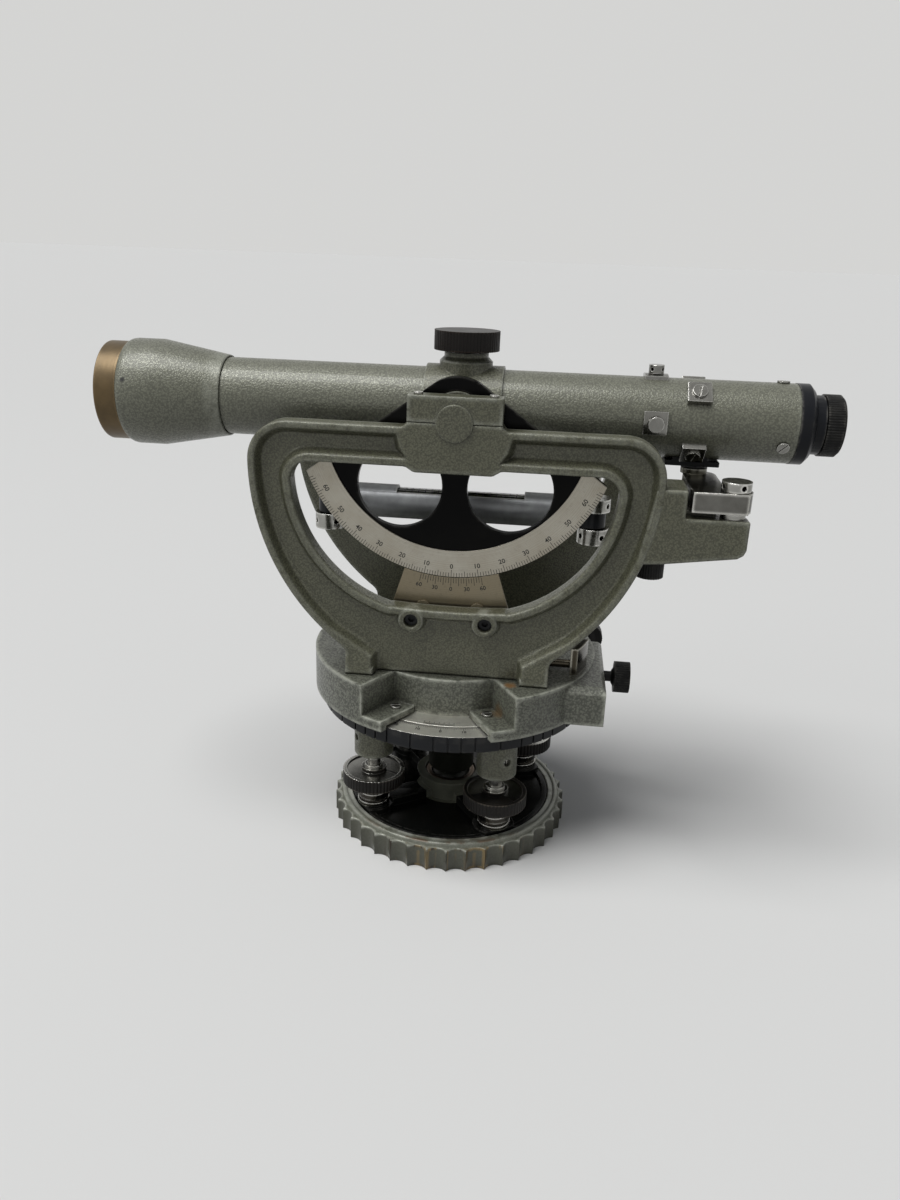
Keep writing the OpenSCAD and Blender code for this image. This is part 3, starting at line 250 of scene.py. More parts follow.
# Tripod ring
# The cast ring that screws onto the tripod's head, with forty scallops for the hand.
# It is enamelled, and at the front some ridges have chipped to brown and brass.
def chipped():
    """The castings' enamel, thinner: painted shade on the walls and in the corners, worn tips with a
    painted highlight, a browned bead, and brass down some ridges.
    """
    n = Nodes("ring_enamel")
    where = n.place()
    fine = n.noise(where, 1500.0, 3.0, 0.6)
    colour = n.mix(n.ramp(fine, 0.36, 0.64), (0.125, 0.130, 0.098), (0.200, 0.207, 0.165))
    # Painted shade: the corners darken towards near black.
    corner = n.corner(0.003)
    colour = n.mix(n.times(n.ramp(corner, 0.22, 0.8), 0.75), colour, (0.022, 0.020, 0.013))
    crest = n.crest(0.0016)
    height = n.along(where, 2)
    # Painted shade: the scalloped walls below the band are darker than its top, as the light falls.
    painted_wall_shade = (0.050, 0.050, 0.035)
    colour = n.mix(n.times(n.ramp(height, 0.0091, 0.0086), 0.75), colour, painted_wall_shade)
    # The band's worn tips get a pale painted highlight.
    tips = n.times(n.ramp(crest, 0.12, 0.36), n.ramp(n.noise(where, 160.0, 4.0, 0.65), 0.36, 0.54))
    tips = n.times(tips, n.ramp(height, 0.0078, 0.0088))
    colour = n.mix(n.times(tips, 0.8), colour, (0.46, 0.47, 0.41))
    front = n.ramp(n.along(where, 1), -0.030, -0.042)
    chips = n.times(front, n.ramp(n.noise(n.place((120, 120, 14)), 1.0, 3.0, 0.7), 0.50, 0.55))
    below = n.ramp(height, 0.0093, 0.0090)
    ridge = n.times(n.times(chips, n.ramp(crest, 0.03, 0.10)), below)
    streak = n.ramp(n.noise(n.place((300, 300, 30)), 1.0, 2.0, 0.6), 0.42, 0.56)
    brass = n.mix(streak, (0.030, 0.020, 0.010), (0.230, 0.165, 0.070))
    colour = n.mix(ridge, colour, brass)
    bead = n.times(front, n.ramp(height, 0.0104, 0.0107))
    bead = n.times(bead, n.ramp(n.noise(where, 95.0, 4.0, 0.7), 0.47, 0.55))
    colour = n.mix(n.times(bead, 0.8), colour, (0.110, 0.066, 0.036))
    rounded = n.rounded(0.0004)
    return n.set(Base_Color=colour, Roughness=0.36, Metallic=0.22, Coat_Weight=0.25, Coat_Roughness=0.18,
                 Normal=n.bump(fine, 0.00005, 0.45, rounded))


def surface(name, points, body, material, nodes=()):
    """A closed skin over a grid of points, whose rows and columns both run round on themselves."""
    grid = np.asarray(points, dtype=np.float64)
    number = np.arange(grid.shape[0] * grid.shape[1]).reshape(grid.shape[:2])
    next_row, next_column = np.roll(number, -1, 0), np.roll(number, -1, 1)
    faces = np.stack([number, next_row, np.roll(next_row, -1, 1), next_column], -1).reshape(-1, 4)
    data = bpy.data.meshes.new(name)
    data.vertices.add(number.size)
    data.vertices.foreach_set("co", grid.reshape(-1).astype(np.float32))
    data.loops.add(faces.size)
    data.loops.foreach_set("vertex_index", faces.reshape(-1).astype(np.int32))
    data.polygons.add(len(faces))
    data.polygons.foreach_set("loop_start", np.arange(0, faces.size, 4, dtype=np.int32))
    data.update(calc_edges=True)
    data.validate()
    shaded(data, material, 40)
    return mounted(data, body, nodes)


# Each scallop is an arc between two tips. Its points are given by their angle from the scallop's middle,
# closer together near the tips, and the wall's radius is where a ray at that angle meets the arc.
ring_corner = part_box("tripod_ring")[1]
ring_tip, ring_top = ring_corner.x, ring_corner.z
scallops, scallop_depth = 40, 0.0019
half_scallop = np.pi / scallops
across_tips = ring_tip * np.cos(half_scallop) - ring_tip + scallop_depth
scallop_radius = (across_tips ** 2 + (ring_tip * np.sin(half_scallop)) ** 2) / 2 / across_tips
scallop_centre = ring_tip - scallop_depth + scallop_radius
step = half_scallop * np.sin(np.linspace(-np.pi / 2, np.pi / 2, 13)[:-1])
wall = scallop_centre * np.cos(step) - np.sqrt(scallop_radius ** 2 - (scallop_centre * np.sin(step)) ** 2)
wall = np.tile(wall, scallops)[:, None]
turn_by = (np.arange(scallops)[:, None] * 2 * half_scallop + step).reshape(-1, 1)

# The section, as radius and height, from the bore up over the bead and down to the band.
band_top = ring_top - 0.0017
bore = [(0.04445, 0.0003), (0.04445, 0.0070), (0.0427, 0.0071), (0.0427, 0.0094), (0.0414, 0.0095),
        (0.0412, 0.0097), (0.0412, ring_top - 0.0007), (0.0415, ring_top - 0.0004)]
bead_width, bead_height = 0.0017, 0.0004
bead = [(0.0434 + bead_width / 2 * (1 - np.cos(v)), ring_top - bead_height + bead_height * np.sin(v))
        for v in np.linspace(0, np.pi, 9)]
groove = [(0.0452, band_top + 0.0003), (0.0454, band_top - 0.0001), (0.0457, band_top)]
fixed = np.array(bore + bead + groove)
# The scalloped wall, as how far it lies inside the tips' line, and height.
worn_edge = np.array([[0.0003, band_top], [0.0001, band_top - 0.0001], [0.0, band_top - 0.0003],
                      [0.0, 0.0004], [0.0001, 0.0001], [0.0004, 0.0]])
radii = np.concatenate([np.tile(fixed[:, 0], (len(wall), 1)), wall - worn_edge[:, 0]], 1)
heights = np.tile(np.concatenate([fixed[:, 1], worn_edge[:, 1]]), (len(wall), 1))
ring_points = np.stack([radii * np.cos(turn_by), radii * np.sin(turn_by), heights], -1)
surface("tripod_ring_shown", ring_points, "ring", chipped(), ("tripod_ring",))


# Foot plate and shoes
# A black dished plate under the ring's lip, with four ribs and a grey-green hub cup for the ball.
# The shoes are turned steel, polished by the screws in them. A bronze ring keeps the ball in its cup.
def enamel(name, tone, rough, dust=0.35, wear_and_highlight=0.3, gloss=0.15, cup=None):
    """Plain enamel with fine orange peel, dust in broad patches, and worn metal with a painted highlight on
    the crests.
    Another paint may cover a cup: all that lies within a radius of the upright axis."""
    n = Nodes(name)
    where = n.place()
    patch = n.noise(where, 60.0, 4.0, 0.6)
    colour = n.mix(n.times(n.ramp(patch, 0.45, 0.8), dust), tone, (0.040, 0.038, 0.029))
    if cup:
        radius, paint = cup
        flat = n.add("ShaderNodeVectorMath", inputs={0: where, 1: (1, 1, 0)}, operation="MULTIPLY")
        from_axis = n.add("ShaderNodeVectorMath", 1, {0: flat}, operation="LENGTH")
        rubbed = n.times(n.ramp(patch, 0.45, 0.75), 0.5)
        colour = n.mix(n.ramp(from_axis, radius + 0.0002, radius), colour, n.mix(rubbed, paint, tone))
    # The crests are worn to the metal and also carry a painted highlight.
    broken = n.ramp(n.noise(where, 330.0, 3.0, 0.6), 0.40, 0.58)
    worn = n.times(n.ramp(n.crest(0.0009), 0.12, 0.36), broken)
    colour = n.mix(n.times(worn, wear_and_highlight), colour, (0.42, 0.40, 0.36))
    shine = n.between(patch, rough * 0.75, rough * 1.4)
    rounded = n.rounded(0.0003)
    return n.set(Base_Color=colour, Roughness=shine, Specular_IOR_Level=gloss,
                 Normal=n.bump(n.noise(where, 900.0, 2.0), 0.00003, 0.4, rounded))


def turned(name, tone, rough, axis="Z", corner_shade=0.6, metal=1.0, rim=(0.80, 0.79, 0.75), shown=0.7,
           edge=0.0009):
    """Bright metal off the lathe: fine rings across the axis, a painted highlight on the edges and painted
    shade in the corners.
    """
    n = Nodes(name)
    stretch = {"X": (4000, 60, 60), "Y": (60, 4000, 60), "Z": (60, 60, 4000)}[axis]
    rings = n.noise(n.place(stretch), 1.0, 2.0, 0.6)
    where = n.place()
    film = n.noise(where, 180.0, 4.0, 0.6)
    colour = n.mix(n.ramp(film, 0.35, 0.8), tone, tuple(c * 0.60 for c in tone))
    # Painted highlight: the edges lighten towards the rim colour.
    colour = n.mix(n.times(n.ramp(n.crest(edge), 0.12, 0.36), shown), colour, rim)
    # Painted shade: the corners darken.
    corner_shade_tone = (0.030, 0.025, 0.016)
    colour = n.mix(n.times(n.ramp(n.corner(0.0022), 0.25, 0.85), corner_shade), colour, corner_shade_tone)
    shine = n.between(rings, rough * 0.7, rough * 1.5)
    rounded = n.rounded(0.0004)
    return n.set(Base_Color=colour, Roughness=shine, Metallic=metal,
                 Normal=n.bump(rings, 0.00002, 0.3, rounded))


hub_paint = (0.0142, (0.190, 0.195, 0.150))
plate_black = enamel("plate_black", (0.0045, 0.0050, 0.0045), 0.20, 0.18, 0.1, cup=hub_paint)
nickel_z = turned("nickel_z", (0.36, 0.355, 0.33), 0.20)
smoothed("foot_plate", "foot", plate_black, 0.0004)
shoe_steel = turned("shoe_steel", (0.055, 0.050, 0.043), 0.16, shown=0.9)
smoothed("shoes", "foot", shoe_steel, 0.0003, 3)
retainer_bronze = turned("retainer_bronze", (0.10, 0.055, 0.024), 0.40, shown=0.15)
smoothed("ball_retainer", "foot", retainer_bronze, 0.0002)
smoothed("stem_seal", "seal", retainer_bronze, 0.0001)

# Levelling head
# A casting with four drilled barrels on a ball stem. The stem is enamelled nearly black.
# A slotted screw in the side of each barrel takes up its play.
def around_axis(profile, count):
    """A closed profile of radius and height, turned once round the upright axis."""
    profile = np.asarray(profile)
    angle = np.linspace(0, 2 * np.pi, count, endpoint=False)[:, None]
    radius, height = profile[:, 0], profile[:, 1] + 0 * angle
    return np.stack([radius * np.cos(angle), radius * np.sin(angle), height], -1)


stem_dark = enamel("stem_dark", (0.014, 0.015, 0.011), 0.32, 0.5, 0.1)
ball_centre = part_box("ball_retainer")[0].z - 0.0007
ball_radius, ball_cut, stem_bore = 0.0088, 0.0030, 0.0025
stem_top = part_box("ball_stem")[1].z
ball_line = [(ball_radius * np.cos(v), ball_centre + ball_radius * np.sin(v))
             for v in np.linspace(np.arcsin(-ball_cut / ball_radius), 0.84, 24)]
sleeve_line = [(0.0059, 0.0197), (0.0062, 0.0200), (0.0089, 0.0203), (0.0093, 0.0207), (0.0094, 0.0215),
               (0.0094, 0.0290), (0.0096, 0.0296), (0.0106, 0.0306), (0.0106, stem_top)]
stem_line = [(stem_bore, ball_line[0][1])] + ball_line + sleeve_line + [(stem_bore, stem_top)]
surface("ball_stem_shown", around_axis(stem_line, 96), "head", stem_dark, ("ball_stem",))
smoothed("levelling_head", "head", casting_enamel, 0.0003)
smoothed("tension_screws", "head", nickel_z, 0.0001)

# Levelling screws
# Four knurled screws of blackened brass, each on a steel ball in its shoe.
# Fingers have rubbed the knurl's crests brown, and a painted highlight lies on them too. The shank above
# the knob is bright nickel.
def blackened(name, tone=(0.0075, 0.0065, 0.0055), bare_and_highlight=(0.40, 0.35, 0.28)):
    """Blackened brass: near black, and brown with a painted highlight where the knurl's crests are rubbed.
    """
    n = Nodes(name)
    where = n.place()
    touched = n.ramp(n.noise(where, 120.0, 3.0, 0.6), 0.36, 0.60)
    # The knurl's crests are rubbed brown and carry a painted highlight.
    rub_and_highlight = n.times(n.ramp(n.crest(0.0008), 0.30, 0.50), touched)
    cloud = n.noise(where, 110.0, 3.0, 0.6)
    colour = n.mix(n.times(n.ramp(cloud, 0.45, 0.8), 0.35), tone, (0.028, 0.021, 0.015))
    colour = n.mix(n.times(rub_and_highlight, 0.55), colour, bare_and_highlight)
    shine = n.between(cloud, 0.26, 0.46)
    rounded = n.rounded(0.0002)
    return n.set(Base_Color=colour, Roughness=shine, Specular_IOR_Level=0.2, Normal=rounded)


screw_black = blackened("screw_black")
shank_radius, shank_length = 0.0038, 0.0262
for k in range(1, 5):
    screw = smoothed(f"level_screw_{k}", f"screw_{k}", screw_black, 0.00012, 1)
    screw.data.materials.append(nickel_z)
    low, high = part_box(f"level_screw_{k}")
    axis = (low + high) / 2
    for face in screw.data.polygons:
        from_axis = (face.center - axis).to_2d().length
        if from_axis < shank_radius and face.center.z > high.z - shank_length:
            face.material_index = 1
    smoothed(f"tip_ball_{k}", f"tip_{k}", nickel_z)

# Horizontal circle
# The black rim with its grip grooves carries a nickel silver ring with half degree graduations.
# The vernier beside it is fixed under the housing's tabs.
def circular_brush(name, tone, centre, plane, rough=0.30, stain=0.4):
    """Nickel silver brushed in rings about a centre: the noise runs fast along the radius only."""
    n = Nodes(name)
    here = n.add("ShaderNodeTexCoord", 3)
    away = n.add("ShaderNodeVectorMath", inputs={0: here, 1: centre}, operation="SUBTRACT")
    flat = n.add("ShaderNodeVectorMath", inputs={0: away, 1: plane}, operation="MULTIPLY")
    radius = n.add("ShaderNodeVectorMath", 1, {0: flat}, operation="LENGTH")
    brush = {"W": n.times(radius, 5200.0), "Scale": 1.0, "Detail": 2.0}
    lines = n.add("ShaderNodeTexNoise", inputs=brush, noise_dimensions="1D")
    scratch = n.noise(here, 700.0, 3.0, 0.7)
    patch = n.noise(here, 70.0, 4.0, 0.6)
    dull, pale, worn = [tuple(c * share for c in tone) for share in (0.76, 1.12, 0.5)]
    colour = n.mix(n.ramp(lines, 0.25, 0.75), dull, pale)
    colour = n.mix(n.times(n.ramp(patch, 0.40, 0.68), stain), colour, (0.23, 0.19, 0.125))
    colour = n.mix(n.times(n.ramp(scratch, 0.56, 0.78), 0.45), colour, worn)
    shine = n.between(lines, rough * 0.8, rough * 1.35)
    rounded = n.rounded(0.0002)
    axis = tuple(1.0 - v for v in plane)
    across = n.add("ShaderNodeVectorMath", inputs={0: flat, 1: axis}, operation="CROSS_PRODUCT")
    return n.set(Base_Color=colour, Roughness=shine, Metallic=0.85, Anisotropic=0.75, Tangent=across,
                 Normal=n.bump(lines, 0.00002, 0.35, rounded))


rim_black = enamel("rim_black", (0.011, 0.012, 0.014), 0.34, dust=0.2, wear_and_highlight=0.04, gloss=0.2)
circle_silver = circular_brush("circle_silver", (0.86, 0.85, 0.78), (0, 0, 0), (1, 1, 0), 0.30, 0.25)
smoothed("circle_rim", "circle", rim_black, 0.0002)
scale_ring = smoothed("circle_scale", "circle", circle_silver, 0.0001)
scale_ring.data.materials.append(rim_black)
# The ring's outer wall is black like the rim, and shows in the rim's grooves.
scale_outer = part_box("circle_scale")[1].x
scale_wall = scale_outer - 0.0004
for face in scale_ring.data.polygons:
    if abs(face.normal.z) < 0.3 and face.center.to_2d().length > scale_wall:
        face.material_index = 1
smoothed("horizontal_vernier", "alidade", circle_silver, 0.0001)


def engraving():
    """Black wax in a cut, worn grey in places."""
    n = Nodes("engraved_black")
    worn = n.ramp(n.noise(n.place(), 900.0, 3.0), 0.5, 0.85)
    return n.set(Base_Color=n.mix(worn, (0.006, 0.006, 0.005), (0.040, 0.036, 0.028)), Roughness=0.55)


engraved_black = engraving()


def outward(data):
    """Turns every face of a closed mesh outwards."""
    check = bmesh.new()
    check.from_mesh(data)
    bmesh.ops.recalc_face_normals(check, faces=check.faces)
    check.to_mesh(data)
    check.free()


def strokes(name, starts, ends, across, width, normal, body):
    """Filled grooves: each stroke is a thin bar from start to end, width wide, a hair above the metal."""
    a, b = np.asarray(starts, float), np.asarray(ends, float)
    side = np.asarray(across, float) * (width / 2)
    lift, sink = np.asarray(normal, float) * 1.2e-5, np.asarray(normal, float) * -1.0e-4
    corners = [a - side, a + side, b + side, b - side]
    count = len(a)
    points = np.stack([c + sink for c in corners] + [c + lift for c in corners], 1).reshape(-1, 3)
    faces = np.array([[3, 2, 1, 0], [4, 5, 6, 7], [0, 1, 5, 4], [1, 2, 6, 5], [2, 3, 7, 6], [3, 0, 4, 7]])
    faces = (faces[None] + 8 * np.arange(count)[:, None, None]).reshape(-1, 4)
    data = bpy.data.meshes.new(name)
    data.from_pydata(points.tolist(), [], faces.tolist())
    outward(data)
    data.materials.append(engraved_black)
    return mounted(data, body)


def cone_strokes(name, angles, inner, outer, body, tall, width):
    """Strokes on a shallow cone about Z: tall gives the height at a radius."""
    way = np.stack([np.cos(angles), np.sin(angles), 0 * angles], -1)
    across = np.stack([-np.sin(angles), np.cos(angles), 0 * angles], -1)
    raised = np.array([0.0, 0.0, 1.0])
    start = way * inner[:, None] + raised * tall(inner)[:, None]
    end = way * outer[:, None] + raised * tall(outer)[:, None]
    return strokes(name, start, end, across, width, raised, body)


# Half degrees, with a longer stroke at each degree and the longest at each ten.
# The vernier divides fourteen and a half degrees into thirty steps, with a longer stroke at every fifth.
scale_inner = scale_outer - 0.0069
scale_rise = np.tan(np.radians(5.0))
scale_edge = 0.0599
stroke_width = 0.00011
half_degrees = np.arange(720)
circle_rank = np.where(half_degrees % 20 == 0, 2, np.where(half_degrees % 2 == 0, 1, 0))
cone_strokes("circle_graduations", np.radians(half_degrees / 2), np.full(720, scale_inner + 0.0002),
             scale_inner + np.array([0.0011, 0.0016, 0.0026])[circle_rank], "circle",
             lambda r: scale_edge + (scale_outer - r) * scale_rise, stroke_width)
vernier_zero, vernier_step, vernier_gap = -91.4, 0.4833, 0.0004
vernier_steps = np.arange(-15, 16)
vernier_outer = scale_inner - vernier_gap
vernier_inner, vernier_high, vernier_drop, vernier_width = 0.0376, 0.0611, 0.0006, 0.0072
vernier_rank = np.where(vernier_steps % 5 == 0, 1, 0)
cone_strokes("vernier_graduations", np.radians(vernier_zero + vernier_steps * vernier_step),
             vernier_outer - np.array([0.0012, 0.0021])[vernier_rank],
             np.full(len(vernier_steps), vernier_outer), "alidade",
             lambda r: vernier_high - (r - vernier_inner) * vernier_drop / vernier_width, stroke_width)


def figures(name, words, places, size, body):
    """Plain dial figures, laid flat on the metal.
    Each place is a centre, a reading direction and an up direction."""
    joined = bmesh.new()
    for word, (centre, along, upward) in zip(words, places):
        text = bpy.data.curves.new(name, "FONT")
        text.body = word
        text.size = size
        text.align_x = "CENTER"
        text.align_y = "CENTER"
        text.resolution_u = 3
        text.offset = size * 0.018
        holder = bpy.data.objects.new(name, text)
        scene.collection.objects.link(holder)
        flat = bpy.data.meshes.new_from_object(holder)
        bpy.data.objects.remove(holder)
        bpy.data.curves.remove(text)
        along, upward = Vector(along).normalized(), Vector(upward).normalized()
        out = along.cross(upward).normalized()
        facing = Matrix((along, upward, out)).transposed().to_4x4()
        flat.transform(Matrix.Translation(Vector(centre) + out * 1.5e-5) @ facing)
        joined.from_mesh(flat)
        bpy.data.meshes.remove(flat)
    data = bpy.data.meshes.new(name)
    joined.to_mesh(data)
    joined.free()
    data.materials.clear()
    data.materials.append(engraved_black)
    return mounted(data, body)


def on_circle(degrees, radius, height):
    """A figure's place on the circle, read from outside it."""
    a = np.radians(degrees)
    way = Vector((np.cos(a), np.sin(a), 0))
    return way * radius + Vector((0, 0, height)), (-np.sin(a), np.cos(a), 0), (-way.x, -way.y, 0)


tens = range(0, 360, 10)
figure_radius = scale_outer - 0.0034
figures("circle_figures", [str(a if a <= 180 else 360 - a) for a in tens],
        [on_circle(-90 + a, figure_radius, scale_edge + 0.00031) for a in tens], 0.0019, "circle")

# Drum housing
# The cast housing over the circle, with a sunk reading window, two screwed tabs and the block for the
# clamp. Its spindle turns in the levelling head. Old oil has browned the enamel by the right tab.
brown_oil = (0.105, 0.062, 0.022)
rust = (0.20, 0.10, 0.03)
drum_stains = (((0.0205, -0.0370, 0.0640), 0.0040, brown_oil, 0.65),
               ((0.0150, -0.0375, 0.0640), 0.0020, brown_oil, 0.5),
               ((0.0235, -0.0372, 0.0752), 0.0028, rust, 0.8))
drum_enamel = hammered("drum_enamel", (0.124, 0.129, 0.102), 1150.0, 0.50, 1.0, stains_and_shade=drum_stains)
smoothed("drum_housing", "alidade", drum_enamel, 0.0006, 3)
old_nickel = turned("old_nickel", (0.150, 0.148, 0.128), 0.28, corner_shade=0.9, shown=0.45)
smoothed("window_screws", "alidade", old_nickel, 0.0002)
smoothed("spindle", "alidade", nickel_z)
smoothed("frame_screws", "alidade", rim_black)
post_bronze = turned("post_bronze", (0.060, 0.052, 0.038), 0.18, corner_shade=0.8, rim=(0.6, 0.58, 0.5),
                     shown=0.5)
smoothed("clamp_post", "alidade", post_bronze, 0.0003)
knob_black = enamel("knob_black", (0.008, 0.008, 0.008), 0.34, dust=0.2, wear_and_highlight=0.15)
smoothed("clamp_screw", "clamp", knob_black, 0.00012, 1)
smoothed("tangent_screw", "tangent", knob_black, 0.00012, 1)

# D-shaped frames
# Two light castings that carry the trunnions. The face has a rounded trough between its outer and inner
# rims, which runs out at the bearing block, the two ears and the feet. The enamel is the levelling head's.
trunnion = 0.16835
frame_foot = 0.0752


def rounded_corner(centre, radius, first, last, count):
    """Points along an arc from the first to the last angle, in degrees."""
    a = np.radians(np.linspace(first, last, count))
    return np.stack([centre[0] + radius * np.cos(a), centre[1] + radius * np.sin(a)], -1)


def outer_outline():
    """A frame's edge: its right half from the block's top down to the foot, then the same mirrored."""
    top, middle, corner_radius, side_radius, foot_start = 0.16640, 0.15190, 0.014, 0.08385, 0.0889
    block = [[0.0, trunnion], [0.0160, trunnion], [0.0160, 0.1679], [0.0166, 0.1672], [0.0175, 0.1665],
             [0.0182, top]]
    corner = rounded_corner((0.05731, top - corner_radius), corner_radius, 90, 0, 40)
    lowest = np.degrees(np.arcsin((foot_start - middle) / side_radius))
    side = rounded_corner((-0.01254, middle), side_radius, 0, lowest, 120)
    foot = [[0.0408, 0.0871], [0.0393, 0.0860], [0.0382, 0.0849], [0.0374, 0.0836], [0.0371, 0.0820],
            [0.0371, frame_foot], [0.0, frame_foot]]
    half = np.vstack([block, corner, side, foot])
    return np.vstack([half, half[-2:0:-1] * [-1, 1]])


def inner_outline():
    """The opening's edge: the block's underside, a rounded corner, one arc and the sill, then mirrored."""
    top, centre, radius, corner_radius, corner_end = 0.15290, (0.0073, 0.1490), 0.0491, 0.007, 0.1459
    block = [[0.0, 0.15105], [0.0128, 0.15105], [0.0137, 0.15125], [0.0160, 0.15270], [0.0172, top]]
    corner = rounded_corner((0.0494, top - corner_radius), corner_radius, 90, 5, 24)
    start = np.degrees(np.arcsin((corner_end - centre[1]) / radius))
    side = rounded_corner(centre, radius, start, -73.5, 140)
    sill = np.stack([np.linspace(0.0200, 0, 21), 0.1014 + 0.0007 * np.linspace(1, 0, 21) ** 2], -1)
    half = np.vstack([block, corner, side, sill])
    return np.vstack([half, half[-2:0:-1] * [-1, 1]])


def densely(outline, step):
    """Extra points along a closed line, no further apart than step."""
    following = np.roll(outline, -1, 0)
    counts = np.maximum(1, np.ceil(np.linalg.norm(following - outline, axis=1) / step).astype(int))
    return np.vstack([a + (b - a) * (np.arange(c) / c)[:, None]
                      for a, b, c in zip(outline, following, counts)])


def along_rays(outline, centre, angles):
    """Where rays from the centre at these angles meet a closed line that goes once round it."""
    fine = densely(outline, 0.0001) - centre
    a = np.arctan2(fine[:, 1], fine[:, 0])
    order = np.argsort(a)
    a, r = a[order], np.linalg.norm(fine, axis=1)[order]
    a, r = np.concatenate([a - 2 * np.pi, a, a + 2 * np.pi]), np.concatenate([r, r, r])
    reach = np.interp(angles, a, r)
    return centre + np.stack([np.cos(angles), np.sin(angles)], -1) * reach[:, None]


def gap_to(points, line):
    """Distance from each point to the nearest point of a dense line."""
    flat = points.reshape(-1, 2)
    found = np.concatenate([np.sqrt(((part[:, None, :] - line[None]) ** 2).sum(-1).min(1))
                            for part in np.array_split(flat, 60)])
    return found.reshape(points.shape[:-1])


def inside_polygon(points, corners):
    """Signed distance to a convex polygon with its corners in clockwise order: negative inside."""
    following = np.roll(corners, -1, 0)
    edge = following - corners
    away = np.stack([-edge[:, 1], edge[:, 0]], -1) / np.linalg.norm(edge, axis=1)[:, None]
    return ((points[..., None, :] - corners) * away).sum(-1).max(-1)


outer_rim, inner_rim, trough_depth, trough_slope = 0.0021, 0.0024, 0.0040, 0.0026
ear_side, ear_height, ear_radius = 0.0133, 0.0971, 0.0043


def frame_face(points):
    """How far the face lies behind the rims: level on what stands proud, then a rounded slope down to the
    trough's floor, by the distance from the nearest rim, block, ear or foot."""
    out = gap_to(points, densely(outer_outline(), 0.0004)) - outer_rim
    inn = gap_to(points, densely(inner_outline(), 0.0004)) - inner_rim
    sideways = np.abs(points) * [1, 0] + points * [0, 1]
    block = inside_polygon(sideways, np.array([[0.0, 0.172], [0.0160, 0.172], [0.0212, 0.1640],
                                               [0.0201, 0.1624], [0.0185, 0.1590], [0.0170, 0.1556],
                                               [0.0158, 0.1510], [0.0, 0.1490]]))
    ear = np.linalg.norm(sideways - [ear_side, ear_height], axis=-1) - ear_radius
    foot = inside_polygon(sideways, np.array([[0.0278, 0.0820], [0.0440, 0.0925], [0.0440, 0.0700],
                                              [0.0278, 0.0700]]))
    between_feet = (np.abs(points[..., 0]) < 0.0265) & (points[..., 1] < 0.0805)
    out = np.where(between_feet, 0.01, out)
    stands = np.minimum(np.minimum(out, inn), np.minimum(block, np.minimum(ear * 2, foot)))
    slope = np.clip(stands / trough_slope, 0, 1)
    screw_hole = np.where(ear < -0.0008, 0.0050, 0.0)
    return np.maximum(trough_depth * (0.5 - 0.5 * np.cos(np.pi * slope)) ** 0.8, screw_hole)


frame_front_face, frame_back = 0.0368, 0.0298


def d_frame(name, side, node, count, across):
    """A closed band between the two outlines: face, edges and plain back. side is -1 for the front frame,
    count the points round the band and across the points from its outer to its inner edge."""
    centre = np.array([0.0, 0.1300])
    angles = np.linspace(-np.pi, np.pi, count, endpoint=False)
    keys = np.vstack([outer_outline(), inner_outline()]) - centre
    angles = np.unique(np.round(np.concatenate([angles, np.arctan2(keys[:, 1], keys[:, 0])]), 4))
    angles = angles[angles < np.pi - 1e-3]
    outside = along_rays(outer_outline(), centre, angles)
    inside = along_rays(inner_outline(), centre, angles)
    t = np.linspace(0, 1, across)
    t = t - 0.13 * np.sin(2 * np.pi * t) / 1.6
    plan = outside[:, None] + (inside - outside)[:, None] * t[None, :, None]
    width = np.linalg.norm(inside - outside, axis=1)[:, None]
    from_edge = np.minimum(t[None] * width, (1 - t[None]) * width)
    edge_radius = 0.0009
    rolled = np.clip(1 - (1 - np.clip(from_edge / edge_radius, 0, 1)) ** 2, 0, 1)
    depth = frame_face(plan) + edge_radius * (1 - np.sqrt(rolled))
    flare = np.clip((0.0830 - plan[..., 1]) / 0.0078, 0, 1) * 0.0014 * (np.abs(plan[..., 0]) > 0.0268)
    proud = frame_front_face - depth + flare

    def edge_wall(edge, depths):
        return np.stack([np.stack([edge[:, 0], side * d, edge[:, 1]], -1) for d in depths], 1)

    face = np.stack([plan[..., 0], side * proud, plan[..., 1]], -1)
    steps = np.linspace(0, 1, 5)
    inner_wall = edge_wall(inside, [proud[:, -1] + (frame_back - proud[:, -1]) * v for v in steps[1:]])
    outer_wall = edge_wall(outside, [frame_back + (proud[:, 0] - frame_back) * v for v in steps[:-1]])
    loop = np.concatenate([face, inner_wall, outer_wall], 1)
    if side > 0:
        loop = loop[:, ::-1]
    return surface(name, loop, "alidade", casting_enamel, (node,))


d_frame("front_frame", -1, "frame_front", 900, 54)
d_frame("rear_frame", 1, "frame_rear", 560, 40)


def prism(name, outline, low, high, axis, body, material, bevel):
    """A flat outline given thickness along an axis, with its edges rounded."""
    outline = np.asarray(outline, float)
    ends = [np.insert(outline, axis, v, axis=1) for v in (low, high)]
    count = len(outline)
    k = np.arange(count)
    faces = [list(range(count))[::-1], list(range(count, 2 * count))]
    faces += np.stack([k, (k + 1) % count, (k + 1) % count + count, k + count], -1).tolist()
    data = bpy.data.meshes.new(name)
    data.from_pydata(np.vstack(ends).tolist(), [], faces)
    outward(data)
    shaded(data, material)
    piece = mounted(data, body)
    filed(piece, bevel, 3, "MITER_SHARP")
    return piece


